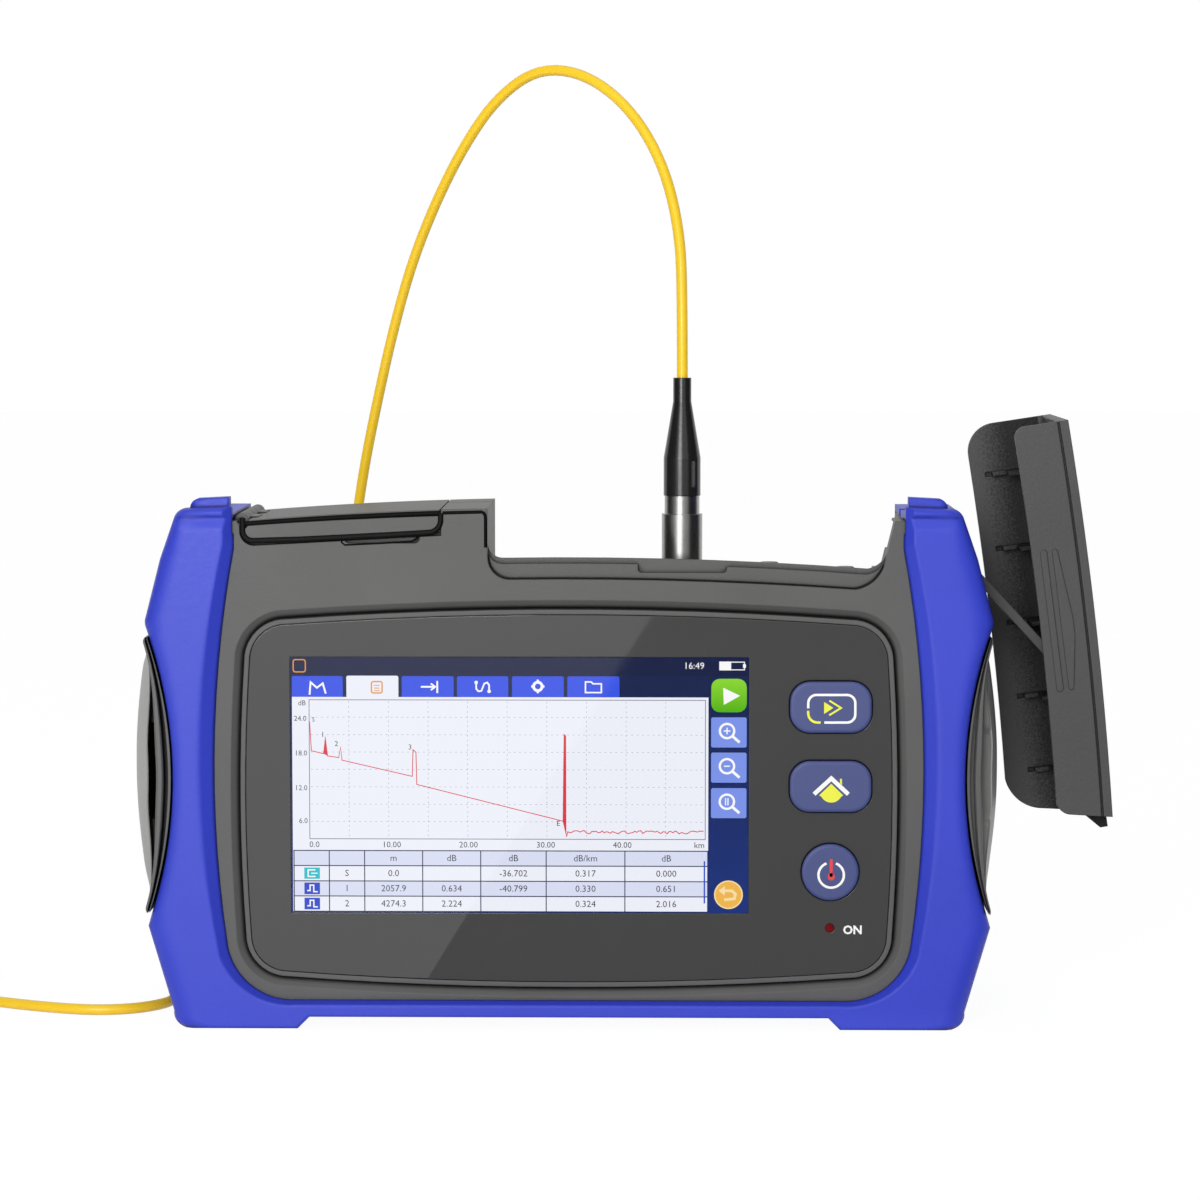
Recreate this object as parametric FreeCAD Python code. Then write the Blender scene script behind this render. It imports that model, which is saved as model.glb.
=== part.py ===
import FreeCAD, Part
import math
import os

# Optical time domain reflectometer: a hand-held, battery-powered fibre tester in a blue
# protective jacket, with its port bay cover swung open and a patch cord plugged in.
# Millimetres. X runs across the instrument, the front looks towards -Y, Z is up from the feet.

V = FreeCAD.Vector
os.makedirs("parts", exist_ok=True)

# ---- driving dimensions ---------------------------------------------------------------

# case: two moulded shells with a gently crowned top
case_half_width = 104.0
case_front = -33.0
case_back = 33.0
upper_back = 14.5
slope_high = 116.0
slope_low = 94.0
case_bottom = 6.2
case_top = 142.0
crown_radius = 1100.0
case_foot_radius = 12.0
case_top_radius = 4.0
wall = 2.2
front_wall = 3.2
seam = -1.0
gasket_thickness = 0.8

# jacket: one soft moulding over the sides and the bottom
jacket_front = 3.0
jacket_back = 2.0
jacket_gap = 0.15
jacket_roll = 5.0
jacket_roll_depth = 3.6
jacket_rear_roll = 3.0
jacket_half_width = 114.7
jacket_top = 142.3
jacket_rear_top = 140.2
lip_depth = 5.0
lip_crease = 0.9
tab_inner = 90.8
tab_outer = 102.2
tab_high = 2.4
tab_depth = 5.0
foot_inner = 73.6
arch_height = 3.2
foot_ledge = 9.0

# front overlay, window and keys
panel_half_width = 87.8
panel_low = 12.5
panel_high = 113.1
panel_side_radius = 560.0
panel_corner = 10.0
rim_slope = 2.6
rim_depth = 2.2
rim_ridge = 1.3
ridge_proud = 1.6
lens_thickness = 1.2
lens_gap = 0.2
window_left = -75.4
window_right = 48.8
window_low = 31.6
window_high = 101.4
glass_thickness = 0.7
display_depth = 3.6
key_x = 71.0
run_key_z = 88.0
home_key_z = 66.4
power_key_z = 43.0
key_width = 22.1
key_height = 14.0
key_corner = 5.5
power_key_diameter = 15.5
key_proud = 1.0
key_gap = 0.3
key_flange = 1.2
key_travel = 0.6
led_z = 27.6
led_diameter = 2.4

# boards and modules inside the case
main_board_left = -80.0
main_board_right = 58.0
main_board_low = 22.0
main_board_high = 112.0
main_board_y = -15.0
module_left = 10.0
module_right = 52.0
module_front = -10.0
module_back = 11.0
module_low = 66.0

# port bay, open to the top and the back, and its floor plate
bay_left = -21.8
bay_right = 83.4
ear_lean = 0.24
bay_front = -28.5
bay_back = 12.4
bay_floor = 119.0
lip_mid = 128.3
lip_line_mid = 126.8
skirt_seat_mid = 122.6
skirt_seat_depth = 1.6
lip_step = 1.2
lip_line = 0.4
lip_line_depth = 0.9
ear_relief = 3.0
ear_relief_start = -18.0
ear_relief_low = 123.0
back_ledge = 117.2
notch_width = 24.0
plate_thickness = 2.0
pad_mid = 124.0
port_y = -8.0
otdr_x = 30.8
vfl_x = 54.9
meter_x = 75.8
ferrule_bore = 1.25
adapter_radius = 4.0
adapter_flange = 13.0
cap_radius = 2.5
cap_height = 3.0
cap_gap = 0.1

# interface door on the left of the top
door_left = -88.4
door_right = -34.7
door_thickness = 2.0
flap_low_mid = 136.1
flap_gap = 1.2
door_gap = 0.4
recess_floor = 131.0
recess_left = -83.0
recess_right = -38.5
recess_front = -27.0
recess_back = 10.0
door_pin_x = -88.6
door_pin_z = 138.2
knuckle_radius = 2.0
door_pin_radius = 0.8
pin_clearance = 0.05

# bay cover and the arm that carries it
cover_left_gap = 0.9
cover_right_gap = 1.7
cover_end_lean = 0.16
cover_wall = 1.8
cover_top_wall = 2.4
front_skirt = 14.9
back_skirt = 24.5
cover_edge_step = 2.7
cover_back_extra = 4.7
cover_rib_pitch = 21.1
cover_rib_start = 15.0
arm_pivot_x = 100.6
arm_pivot_z = 134.4
arm_width = 6.0
arm_thickness = 2.4
arm_eye_radius = 2.6
arm_pin_radius = 1.0
arm_side_gap = 0.3
arm_y = -9.0
latch_reach = 3.6
latch_width = 8.0
latch_y = -21.0
dimple_depth = 0.9
mark_middle = 32.0
mark_length = 38.6
mark_drop = 12.2
mark_tilt = 1.2
mark_proud = 0.25
cover_pivot_along = 69.4
cover_pivot_under = 6.5
arm_open_angle = -47.2
cover_open_turn = 81.3

# back: stand and battery compartment
stand_width = 70.0
stand_pivot_z = 88.0
stand_length = 48.0
stand_thickness = 3.0
stand_pin_radius = 1.5
stand_gap = 0.4
battery_door_margin = 4.0
battery_door_low = 13.0
battery_door_high = 35.0
battery_width = 70.0
battery_depth = 37.0
battery_height = 18.5
speaker_x = -72.0
speaker_z = 60.0

# patch cord
cord_diameter = 3.0
coil_middle = 36.0
coil_x = -190.0
coil_y = 26.0
coil_section_radius = 5.4
far_plug_offset = 25.0
far_plug_lead = 8.0
nut_radius = 5.6
nut_height = 18.0
boot_height = 32.4
boot_wide = 5.1
boot_narrow = 2.5
boot_slot_x = 2.9
boot_slot_floor = 2.6

# grips on the sides of the jacket
grip_reach = 119.8
grip_low = 32.4
grip_high = 106.0
grip_gap = 0.3
rim_band = 2.0
rim_stand = 1.6
pocket_reach = 27.0
pocket_width = 2.2
pocket_depth = 14.0


# ---- helpers ----------------------------------------------------------------------------

def crown(middle, x):
    """Height at x of a crowned line whose highest point, on the mid-plane, is middle."""
    return middle - (crown_radius - math.sqrt(crown_radius**2 - x * x))


def wire_xz(path, y):
    """A closed wire: a start point, then (x, z) for a line or (xm, zm, x, z) for an arc."""
    edges = []
    at = V(path[0][0], y, path[0][1])
    for step in list(path[1:]) + [path[0]]:
        to = V(step[-2], y, step[-1])
        if (to - at).Length > 1e-6:
            if len(step) == 4:
                edges.append(Part.Arc(at, V(step[0], y, step[1]), to).toShape())
            else:
                edges.append(Part.LineSegment(at, to).toShape())
        at = to
    return Part.Wire(edges)


def prism(path, y0, y1):
    """The path's face drawn out from y0 to y1."""
    return Part.Face(wire_xz(path, y0)).extrude(V(0, y1 - y0, 0))


def both_sides(half):
    """A whole path from its left half, which runs from a top corner down to the bottom."""
    path = list(half)
    x, z = half[-1][-2:]
    if abs(x) > 1e-6:
        path.append((-x, z))
    for k in range(len(half) - 1, 0, -1):
        x, z = half[k - 1][-2:]
        via = half[k][:-2]
        path.append((-via[0], via[1], -x, z) if via else (-x, z))
    return path


def box(x0, x1, y0, y1, z0, z1):
    return Part.makeBox(x1 - x0, y1 - y0, z1 - z0, V(x0, y0, z0))


def rod(radius, start, end):
    """A round bar between two points."""
    a = V(*start)
    d = V(*end) - a
    return Part.makeCylinder(radius, d.Length, a, d)


def rounded(x, z, width, height, corner, y0, y1):
    """A rounded rectangle centred at x, z and drawn out along Y."""
    w = width / 2
    h = height / 2
    k = corner * (1 - math.sqrt(0.5))
    half = [
        (x - w + corner, z + h),
        (x - w + k, z + h - k, x - w, z + h - corner),
        (x - w, z - h + corner),
        (x - w + k, z - h + k, x - w + corner, z - h),
        (x + w - corner, z - h),
        (x + w - k, z - h + k, x + w, z - h + corner),
        (x + w, z + h - corner),
        (x + w - k, z + h - k, x + w - corner, z + h),
    ]
    return prism(half, y0, y1)


def joined(first, *others):
    shape = first
    for other in others:
        shape = shape.fuse(other)
    return shape.removeSplitter()


def save(name, shape):
    shape.exportStep("parts/" + name + ".step")


# ---- case -------------------------------------------------------------------------------

def case_path(grow):
    """The case's front outline, grown outwards by grow."""
    w = case_half_width + grow
    r = case_top_radius
    f = case_foot_radius + grow
    bottom = case_bottom - grow
    shoulder = crown(case_top + grow, w - r)
    k = 1 - math.sqrt(0.5)
    half = [
        (-w + r, shoulder),
        (-w + k * r, shoulder - k * r, -w, shoulder - r),
        (-w, bottom + f),
        (-w + k * f, bottom + k * f, -w + f, bottom),
    ]
    return both_sides(half) + [(0, case_top + grow, -w + r, shoulder)]


def back_cut(grow):
    """What the sloping upper back takes away."""
    dy = case_back - upper_back
    dz = slope_high - slope_low
    lift = grow * (math.hypot(dy, dz) - dz) / dy
    far = 60.0
    points = [
        V(-150, upper_back + grow, 200),
        V(-150, upper_back + grow, slope_high + lift),
        V(-150, case_back + grow, slope_low + lift),
        V(-150, far, slope_low + lift),
        V(-150, far, 200),
    ]
    return Part.Face(Part.makePolygon(points + points[:1])).extrude(V(300, 0, 0))


def case_solid(grow):
    whole = prism(case_path(grow), case_front - grow, case_back + grow)
    return whole.cut(back_cut(grow))


def case_cavity():
    """The room inside the shells, under the bay floor and the interface recess."""
    room = case_solid(-wall)
    room = room.common(box(-150, 150, case_front + front_wall, 60, 0, 200))
    over_bay = box(bay_left - wall, 150, -60, 60, bay_floor - wall, 200)
    over_recess = box(-150, bay_left - wall, -60, 60, recess_floor - wall, 200)
    return room.cut(over_bay).cut(over_recess)


def ear_at(z):
    """Where the bay's leaning right wall stands at height z."""
    return bay_right + (z - bay_floor) * ear_lean


def bay_path(middle, corner, inset=0.0):
    """The bay seen from the front, with a crowned floor at middle and rounded ends."""
    top = case_top + 20
    k = corner * (1 - math.sqrt(0.5))
    left = bay_left + inset

    def right(z):
        return ear_at(z) - inset

    left_z = crown(middle, left + corner)
    right_x = right(crown(middle, bay_right))
    right_z = crown(middle, right_x - corner)
    centre = (left + right_x) / 2
    return [
        (left, top),
        (left, left_z + corner),
        (left + k, left_z + k, left + corner, left_z),
        (centre, crown(middle, centre), right_x - corner, right_z),
        (right_x - k, right_z + k, right(right_z + corner), right_z + corner),
        (right(top), top),
    ]


def lip_groove(middle, corner, depth):
    """The fine groove cut in along the foot of one of the lip's steps."""
    outer = prism(bay_path(middle, corner), depth - 0.05, depth + lip_line_depth)
    inner = prism(bay_path(middle + lip_line, corner, lip_line), depth - 1, depth + lip_line_depth + 1)
    return outer.cut(inner)


def bay_cuts():
    """The port bay: its well, its stepped front lip and the ledge for the back skirt."""
    top = case_top + 20
    lean = (top - bay_floor) * ear_lean
    well = [
        (bay_left, top),
        (bay_left, bay_floor),
        (bay_right, bay_floor),
        (bay_right + lean, top),
    ]
    seat = case_front + skirt_seat_depth
    step = seat + lip_step
    cuts = prism(well, bay_front, 60)
    cuts = cuts.fuse(prism(bay_path(lip_mid, 4.0), -60, bay_front + 1))
    cuts = cuts.fuse(prism(bay_path(skirt_seat_mid, 6.0), -60, seat))
    cuts = cuts.fuse(prism(bay_path(lip_line_mid, 4.0), -60, step))
    notch = rounded(otdr_x, lip_line_mid, notch_width, 5.0, 1.0, -60, step)
    cuts = cuts.fuse(notch).fuse(lip_groove(skirt_seat_mid, 6.0, seat))
    low = ear_relief_low
    relief = [
        (ear_at(low) - 1, low),
        (ear_at(low) + ear_relief, low),
        (ear_at(top) + ear_relief, top),
        (ear_at(top) - 1, top),
    ]
    cuts = cuts.fuse(prism(relief, ear_relief_start, 60))
    ledge_right = ear_at(case_top) + cover_back_extra - cover_right_gap + 0.6
    ledge = box(bay_left, ledge_right, bay_back, 60, back_ledge, top)
    z = crown(case_top, ear_at(case_top))
    pocket = box(ear_at(z - 8), ear_at(z) + latch_reach - cover_right_gap + 0.5,
                 latch_y - latch_width / 2 - 0.5, latch_y + latch_width / 2 + 0.5, z - 8.0, z - 0.6)
    return cuts.fuse(ledge).fuse(pocket)


def door_slot():
    """Room for the interface door: its top panel, its front flap and its knuckles."""
    low = flap_low_mid - flap_gap
    left = door_left - door_gap
    right = door_right + door_gap
    corner = 4.0
    k = corner * (1 - math.sqrt(0.5))
    z = crown(low, left + corner)
    top = case_top + 20
    flap = [
        (left, top),
        (left, z + corner),
        (left + k, z + k, left + corner, z),
        (right, crown(low, right)),
        (right, top),
    ]
    under = case_top - door_thickness - door_gap
    panel = [
        (left, top),
        (left, crown(under, left)),
        ((left + right) / 2, crown(under, (left + right) / 2), right, crown(under, right)),
        (right, top),
    ]
    slot = prism(flap, -60, case_front + door_thickness + door_gap)
    slot = slot.fuse(prism(panel, -60, 60))
    notch = rounded(-50.3, flap_low_mid - 1.6, 20.5, 4.4, 1.5, -60, case_front + 1.5)
    slot = slot.fuse(notch)
    recess = box(recess_left, recess_right, recess_front, recess_back, recess_floor, top)
    return slot.fuse(recess)


def knuckle_spans():
    """Where the door's two knuckles lie along its pin."""
    return [(-24.0, -14.0), (-4.0, 6.0)]


def knuckle_room():
    room = None
    for y0, y1 in knuckle_spans():
        cut = rod(knuckle_radius + door_gap, (door_pin_x, y0 - door_gap, door_pin_z),
                  (door_pin_x, y1 + door_gap, door_pin_z))
        room = cut if room is None else room.fuse(cut)
    return room


def arm_slot():
    """The slot from the bay over the right shoulder, in which the cover's arm swings."""
    half = arm_width / 2 + arm_side_gap
    r = arm_eye_radius + 0.6
    x = arm_pivot_x
    z = arm_pivot_z
    a = math.radians(arm_open_angle)
    out = 40.0
    low_x = x + r * math.sin(a)
    low_z = z - r * math.cos(a)
    floor_x = low_x + (low_z - (z - r)) / math.tan(-a)
    path = [
        (bay_right - 1, z + out),
        (bay_right - 1, z - r),
        (floor_x, z - r),
        (low_x + out * math.cos(a), low_z + out * math.sin(a)),
        (x + out, z + out),
    ]
    return prism(path, arm_y - half, arm_y + half)


def screw_posts():
    return [(-95.0, 26.0), (95.0, 26.0), (-95.0, 84.0), (95.0, 84.0)]


def case_walls():
    """Both shells in one piece, before they are parted at the seam."""
    walls = case_solid(0).cut(case_cavity()).cut(bay_cuts()).cut(door_slot())
    ears = rod(knuckle_radius, (door_pin_x, case_front + 4, door_pin_z),
               (door_pin_x, upper_back - 2, door_pin_z))
    web = box(door_pin_x - knuckle_radius, door_pin_x + 0.4, case_front + 4, upper_back - 2,
              recess_floor, door_pin_z)
    walls = walls.fuse(ears).fuse(web).cut(knuckle_room())
    walls = walls.cut(rod(door_pin_radius + pin_clearance, (door_pin_x, case_front - 1, door_pin_z),
                          (door_pin_x, upper_back - 3, door_pin_z)))
    walls = walls.cut(arm_slot())
    bore = rod(arm_pin_radius, (arm_pivot_x, arm_y - 9, arm_pivot_z),
               (arm_pivot_x, arm_y + 9, arm_pivot_z))
    walls = walls.cut(bore)
    for x in (otdr_x, vfl_x, meter_x):
        walls = walls.cut(rod(5.0, (x, port_y, bay_floor - 6), (x, port_y, bay_floor + 1)))
    for x, y in plate_screw_places():
        walls = walls.cut(rod(1.0, (x, y, bay_floor - 6), (x, y, bay_floor + 1)))
    return walls


def panel_path(grow):
    """The overlay's outline: bowed sides, crowned top and sagging bottom."""
    w = panel_half_width + grow
    low = panel_low - grow
    high = panel_high + grow
    middle = (low + high) / 2
    c = panel_corner + grow
    k = c * (1 - math.sqrt(0.5))
    top_z = crown(high, w - c)
    foot_z = low + high - crown(high, w - c)
    rise = (high - low) / 2 - c - 2
    inset = rise * rise / (2 * panel_side_radius)
    half = [
        (-w + c + inset, top_z),
        (-w + k + inset, top_z - k, -w + inset, top_z - c),
        (-w, middle, -w + inset, foot_z + c),
        (-w + k + inset, foot_z + k, -w + c + inset, foot_z),
        (-(w - c) / 2, low + (foot_z - low) * 0.25, 0, low),
    ]
    return both_sides(half) + [(0, high, -w + c + inset, top_z)]


def key_holes(y0, y1, gap):
    """Holes for the two wide keys, the round power key and the lamp."""
    w = key_width + 2 * gap
    h = key_height + 2 * gap
    holes = rounded(key_x, run_key_z, w, h, key_corner + gap, y0, y1)
    holes = holes.fuse(rounded(key_x, home_key_z, w, h, key_corner + gap, y0, y1))
    holes = holes.fuse(rod(power_key_diameter / 2 + gap, (key_x, y0, power_key_z), (key_x, y1, power_key_z)))
    return holes.fuse(rod(led_diameter / 2 + 0.1, (key_x, y0, led_z), (key_x, y1, led_z)))


def front_shell(walls):
    shell = walls.common(box(-150, 150, -60, seam, 0, 200))
    face = case_front
    floor = face + rim_depth
    outer = wire_xz(panel_path(rim_slope + rim_ridge), face - 0.01)
    inner = wire_xz(panel_path(rim_ridge), floor)
    slope = Part.makeLoft([outer, inner], True, True)
    shell = shell.cut(slope)
    ridge = prism(panel_path(rim_ridge), floor - ridge_proud, floor + 0.5)
    shell = shell.fuse(ridge)
    lens_back = floor - ridge_proud + 0.1 + lens_thickness
    shell = shell.cut(prism(panel_path(0), face - 5, lens_back))
    window = box(window_left - 1.5, window_right + 1.5, face, face + front_wall + 1,
                 window_low - 1.5, window_high + 1.5)
    shell = shell.cut(window).cut(key_holes(face - 1, face + front_wall + 1, key_gap))
    for x, z in screw_posts():
        post = rod(3.6, (x, face + front_wall - 0.2, z), (x, seam, z))
        hole = rod(1.4, (x, seam - 12, z), (x, seam + 1, z))
        shell = shell.fuse(post).cut(hole)
    return shell.removeSplitter()


def case_gasket(walls):
    ring = walls.common(box(-150, 150, seam, seam + gasket_thickness, 0, 200))
    keep = case_solid(-0.4)
    return ring.common(keep)


def rear_shell(walls):
    start = seam + gasket_thickness
    shell = walls.common(box(-150, 150, start, 60, 0, 200))
    for x, z in screw_posts():
        post = rod(3.6, (x, start, z), (x, case_back - wall + 0.2, z))
        shell = shell.fuse(post)
        shell = shell.cut(rod(1.6, (x, start - 1, z), (x, case_back + 1, z)))
        shell = shell.cut(rod(3.0, (x, case_back - 4, z), (x, case_back + 1, z)))
    lining = box(-battery_width / 2 - 2.5, battery_width / 2 + 2.5, case_back - battery_depth - 2,
                 case_back - wall + 0.2, battery_door_low, battery_door_high)
    hollow = box(-battery_width / 2 - 0.5, battery_width / 2 + 0.5, case_back - battery_depth - 0.5,
                 case_back + 1, battery_door_low + 1.5, battery_door_high - 1.5)
    lining = lining.common(box(-150, 150, start, 60, 0, 200))
    shell = shell.fuse(lining).cut(hollow)
    door = box(-battery_door_half() - 0.2, battery_door_half() + 0.2, case_back - 1.9,
               case_back + 1, battery_door_low - 0.2, battery_door_high + 0.2)
    shell = shell.cut(door)
    for x in battery_screw_places():
        z = (battery_door_low + battery_door_high) / 2
        shell = shell.cut(rod(0.9, (x, case_back - 6, z), (x, case_back + 1, z)))
    for k in range(-2, 3):
        slit = box(speaker_x - 6.0, speaker_x + 6.0, case_back - 4, case_back + 1,
                   speaker_z + 2.6 * k - 0.6, speaker_z + 2.6 * k + 0.6)
        shell = shell.cut(slit)
    return shell.cut(stand_recess()).removeSplitter()


def battery_door_half():
    return battery_width / 2 + battery_door_margin


def battery_screw_places():
    return [-(battery_door_half() - 2.4), battery_door_half() - 2.4]


# ---- back -------------------------------------------------------------------------------

def stand_recess():
    """A shallow tray with two pin holes that the folded stand lies in."""
    half = stand_width / 2 + stand_gap
    depth = stand_thickness / 2 + stand_pin_radius + 0.4
    y = case_back - depth
    low = stand_pivot_z - stand_length - stand_gap
    tray = box(-half, half, y, case_back + 1, low, stand_pivot_z + 3.6)
    grip = rod(9.0, (0, y + 0.6, low), (0, case_back + 1, low))
    pins = rod(stand_pin_radius, (-half - 5, stand_pin_y(), stand_pivot_z),
               (half + 5, stand_pin_y(), stand_pivot_z))
    return tray.fuse(grip).fuse(pins)


def stand_pin_y():
    return case_back - stand_thickness / 2 - 0.2


def stand_tray_floor():
    """The boxed-in floor behind the stand, which keeps the tray closed to the inside."""
    half = stand_width / 2 + 6
    depth = stand_thickness / 2 + stand_pin_radius + 0.4
    y = case_back - depth - 1.6
    low = stand_pivot_z - stand_length - 10.5
    return box(-half, half, y, case_back - wall + 0.2, low, stand_pivot_z + 5.2)


def tilt_stand():
    y1 = case_back - 0.2
    y0 = y1 - stand_thickness
    low = stand_pivot_z - stand_length
    half = stand_width / 2
    plate = rounded(0, (low + stand_pivot_z) / 2, stand_width, stand_length, 4.0, y0, y1)
    eye = rod(stand_thickness / 2, (-half, stand_pin_y(), stand_pivot_z),
              (half, stand_pin_y(), stand_pivot_z))
    plate = plate.fuse(box(-half, half, y0, y1, stand_pivot_z - 5, stand_pivot_z)).fuse(eye)
    window = rounded(0, stand_pivot_z - stand_length * 0.52, stand_width * 0.56,
                     stand_length * 0.42, 4.0, y0 - 1, y1 + 1)
    bore = rod(stand_pin_radius * 0.67 + pin_clearance, (-half - 1, stand_pin_y(), stand_pivot_z),
               (half + 1, stand_pin_y(), stand_pivot_z))
    return plate.cut(window).cut(bore).removeSplitter()


def stand_pins():
    half = stand_width / 2
    pins = []
    for side in (-1, 1):
        inner = rod(stand_pin_radius * 0.67, (side * (half - 8), stand_pin_y(), stand_pivot_z),
                    (side * (half + stand_gap), stand_pin_y(), stand_pivot_z))
        outer = rod(stand_pin_radius, (side * (half + stand_gap), stand_pin_y(), stand_pivot_z),
                    (side * (half + 4.8), stand_pin_y(), stand_pivot_z))
        pins.append(joined(inner, outer))
    return Part.makeCompound(pins)


def battery_pack():
    y1 = case_back - 2.4
    y0 = case_back - battery_depth
    z0 = battery_door_low + 1.8
    half = battery_width / 2
    mid = z0 + battery_height / 2
    r = battery_height / 2
    cells = [rod(r, (-half, y0 + r + k * 2 * r, mid), (half, y0 + r + k * 2 * r, mid)) for k in (0, 0.93)]
    flat = box(-half, half, y0 + r, y0 + r + 1.86 * r, z0, z0 + battery_height)
    pack = joined(cells[0], cells[1], flat)
    return pack.common(box(-half, half, y0, y1, 0, 100))


def battery_door():
    z = (battery_door_low + battery_door_high) / 2
    door = box(-battery_door_half(), battery_door_half(), case_back - 1.9, case_back,
               battery_door_low, battery_door_high)
    for x in battery_screw_places():
        door = door.cut(rod(1.1, (x, case_back - 3, z), (x, case_back + 1, z)))
        door = door.cut(rod(2.0, (x, case_back - 0.9, z), (x, case_back + 1, z)))
    for k in range(5):
        rib = box(-12, 12, case_back - 0.5, case_back + 1, z - 5.4 + 2.4 * k, z - 4.2 + 2.4 * k)
        door = door.cut(rib)
    return door


def pan_screw(x, z, head_y, head_radius, shank_radius, length, head):
    """A screw driven in from the back, with a slot in its head."""
    screw = joined(rod(head_radius, (x, head_y - head, z), (x, head_y, z)),
                   rod(shank_radius, (x, head_y - length, z), (x, head_y - head, z)))
    return screw.cut(box(x - head_radius, x + head_radius, head_y - head * 0.5, head_y + 1,
                         z - 0.25, z + 0.25))


def battery_door_screws():
    z = (battery_door_low + battery_door_high) / 2
    return Part.makeCompound([pan_screw(x, z, case_back - 0.1, 1.9, 0.85, 5.0, 0.8)
                              for x in battery_screw_places()])


def case_screws():
    return Part.makeCompound([pan_screw(x, z, case_back - 2.0, 2.8, 1.35, 40.0, 2.0)
                              for x, z in screw_posts()])


# ---- jacket and grips -----------------------------------------------------------------------

def jacket_path(inset=0.0):
    """The jacket from the front: shoulders, hollow flanks, splayed feet and an arch.

    inset draws the line in where the edges roll over, less at the hollow flanks and the feet.
    """
    w = jacket_half_width - inset
    waist = jacket_half_width - 0.3 * inset
    near = jacket_half_width - 0.6 * inset
    tab = tab_outer - inset / 2
    top = jacket_top - inset / 5
    low = inset / 16
    foot = foot_inner + inset / 16
    half = [
        (-tab_inner, top),
        (-tab, top - 0.5),
        (-tab - 3.0, top - 1.3, -tab - 4.4, top - 3.4),
        (-w + 4.3, 128.0),
        (-w + 0.3, 112.5),
        (-w, 110.6, -w + 0.4, 109.0),
        (-near + 1.2, grip_high + 0.4),
        (-waist + 7.2, (grip_high + grip_low) / 2, -near + 1.5, grip_low),
        (-w + 0.2, 27.8),
        (-w + 7.0, 4.5 + low),
        (-w + 8.0, 1.2 + low, -w + 10.0, low),
        (-foot, low),
        (-foot + arch_height, arch_height + low),
    ]
    return both_sides(half)


def jacket_blank():
    """The jacket's outer form, its front and rear edges rolled over in three and two steps."""
    front = case_front - jacket_front
    back = case_back + jacket_back
    rolls = [
        (front, jacket_roll),
        (front + 0.16 * jacket_roll_depth, 0.48 * jacket_roll),
        (front + 0.53 * jacket_roll_depth, 0.14 * jacket_roll),
        (front + jacket_roll_depth, 0.0),
        (back - jacket_rear_roll, 0.0),
        (back - 0.3 * jacket_rear_roll, 0.3 * jacket_rear_roll),
        (back, jacket_rear_roll),
    ]
    return Part.makeLoft([wire_xz(jacket_path(inset), y) for y, inset in rolls], True, True)


def jacket_opening(spread, depth):
    """The jacket's front window at one depth: spread widens it towards the outer face."""
    def half(s):
        return [
            (-89.7 - 3.3 * s, jacket_top + 1),
            (-89.7 - 3.3 * s, 130.4 + 2 * s),
            (-95.2 - 4.7 * s, 72.0, -92.3 - 2.4 * s, 22.7 - 3.0 * s),
            (-87.0 - 1.4 * s, 12.6 - 1.6 * s, -74.0, 7.9 - 1.2 * s),
        ]
    return wire_xz(both_sides(half(spread)), depth)


def raised_tab(side):
    """The low upright tab that stands behind the jacket's front lip."""
    low = jacket_rear_top - 1.0
    high = jacket_top + tab_high
    a = side * (tab_inner + 0.9)
    b = side * tab_outer
    path = [
        (a, low),
        (a, high),
        (b - side * 2.5, high - 0.4),
        (b - side * 0.6, high - 1.3, b, high - 3.0),
        (b + side * 0.8, low),
    ]
    y = case_front - jacket_front + lip_depth - 0.6
    return prism(path, y, y + tab_depth)


def bumper():
    front = case_front - jacket_front
    back = case_back + jacket_back
    body = jacket_blank().cut(back_cut(jacket_back))
    window = Part.makeLoft([jacket_opening(1.0, front - 0.01), jacket_opening(0.0, case_front + 0.5)],
                           True, True)
    inside = case_solid(jacket_gap)
    back_window = rounded(0, 110, 182, 196, 14, 2, back + 5)
    body = body.cut(window).cut(inside).cut(back_window)
    under = box(-foot_inner - 2, foot_inner + 2, back - foot_ledge, back - jacket_rear_roll, 0,
                arch_height + 1.5)
    body = body.fuse(under)
    body = body.cut(box(-150, 150, front + lip_depth, 60, jacket_rear_top, 200))
    crease = Part.Face(Part.makePolygon([
        V(-150, front - 1, jacket_top - 6.0),
        V(-150, front, jacket_top - 6.0),
        V(-150, front + lip_crease, jacket_top - 3.0),
        V(-150, front, jacket_top - 2.2),
        V(-150, front - 1, jacket_top - 2.2),
        V(-150, front - 1, jacket_top - 6.0),
    ]))
    body = body.cut(crease.extrude(V(300, 0, 0)))
    for side in (-1, 1):
        body = body.fuse(raised_tab(side))
    gap = box(-tab_inner, tab_inner, front - 1, back + 1, case_bottom + 40, jacket_top + 5)
    upper = case_solid(jacket_gap + 10).common(box(-tab_inner, tab_inner, front, back, 135, 200))
    body = body.cut(upper.common(gap))
    body = body.cut(arm_slot())
    return body.removeSplitter()


def flank(offset):
    """The hollow flank's line moved outwards by offset, as (top, middle, bottom) points."""
    w = jacket_half_width
    return [
        (-w + 1.2 - offset, grip_high),
        (-w + 7.2 - offset, (grip_high + grip_low) / 2),
        (-w + 1.5 - offset, grip_low + 0.4),
    ]


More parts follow.
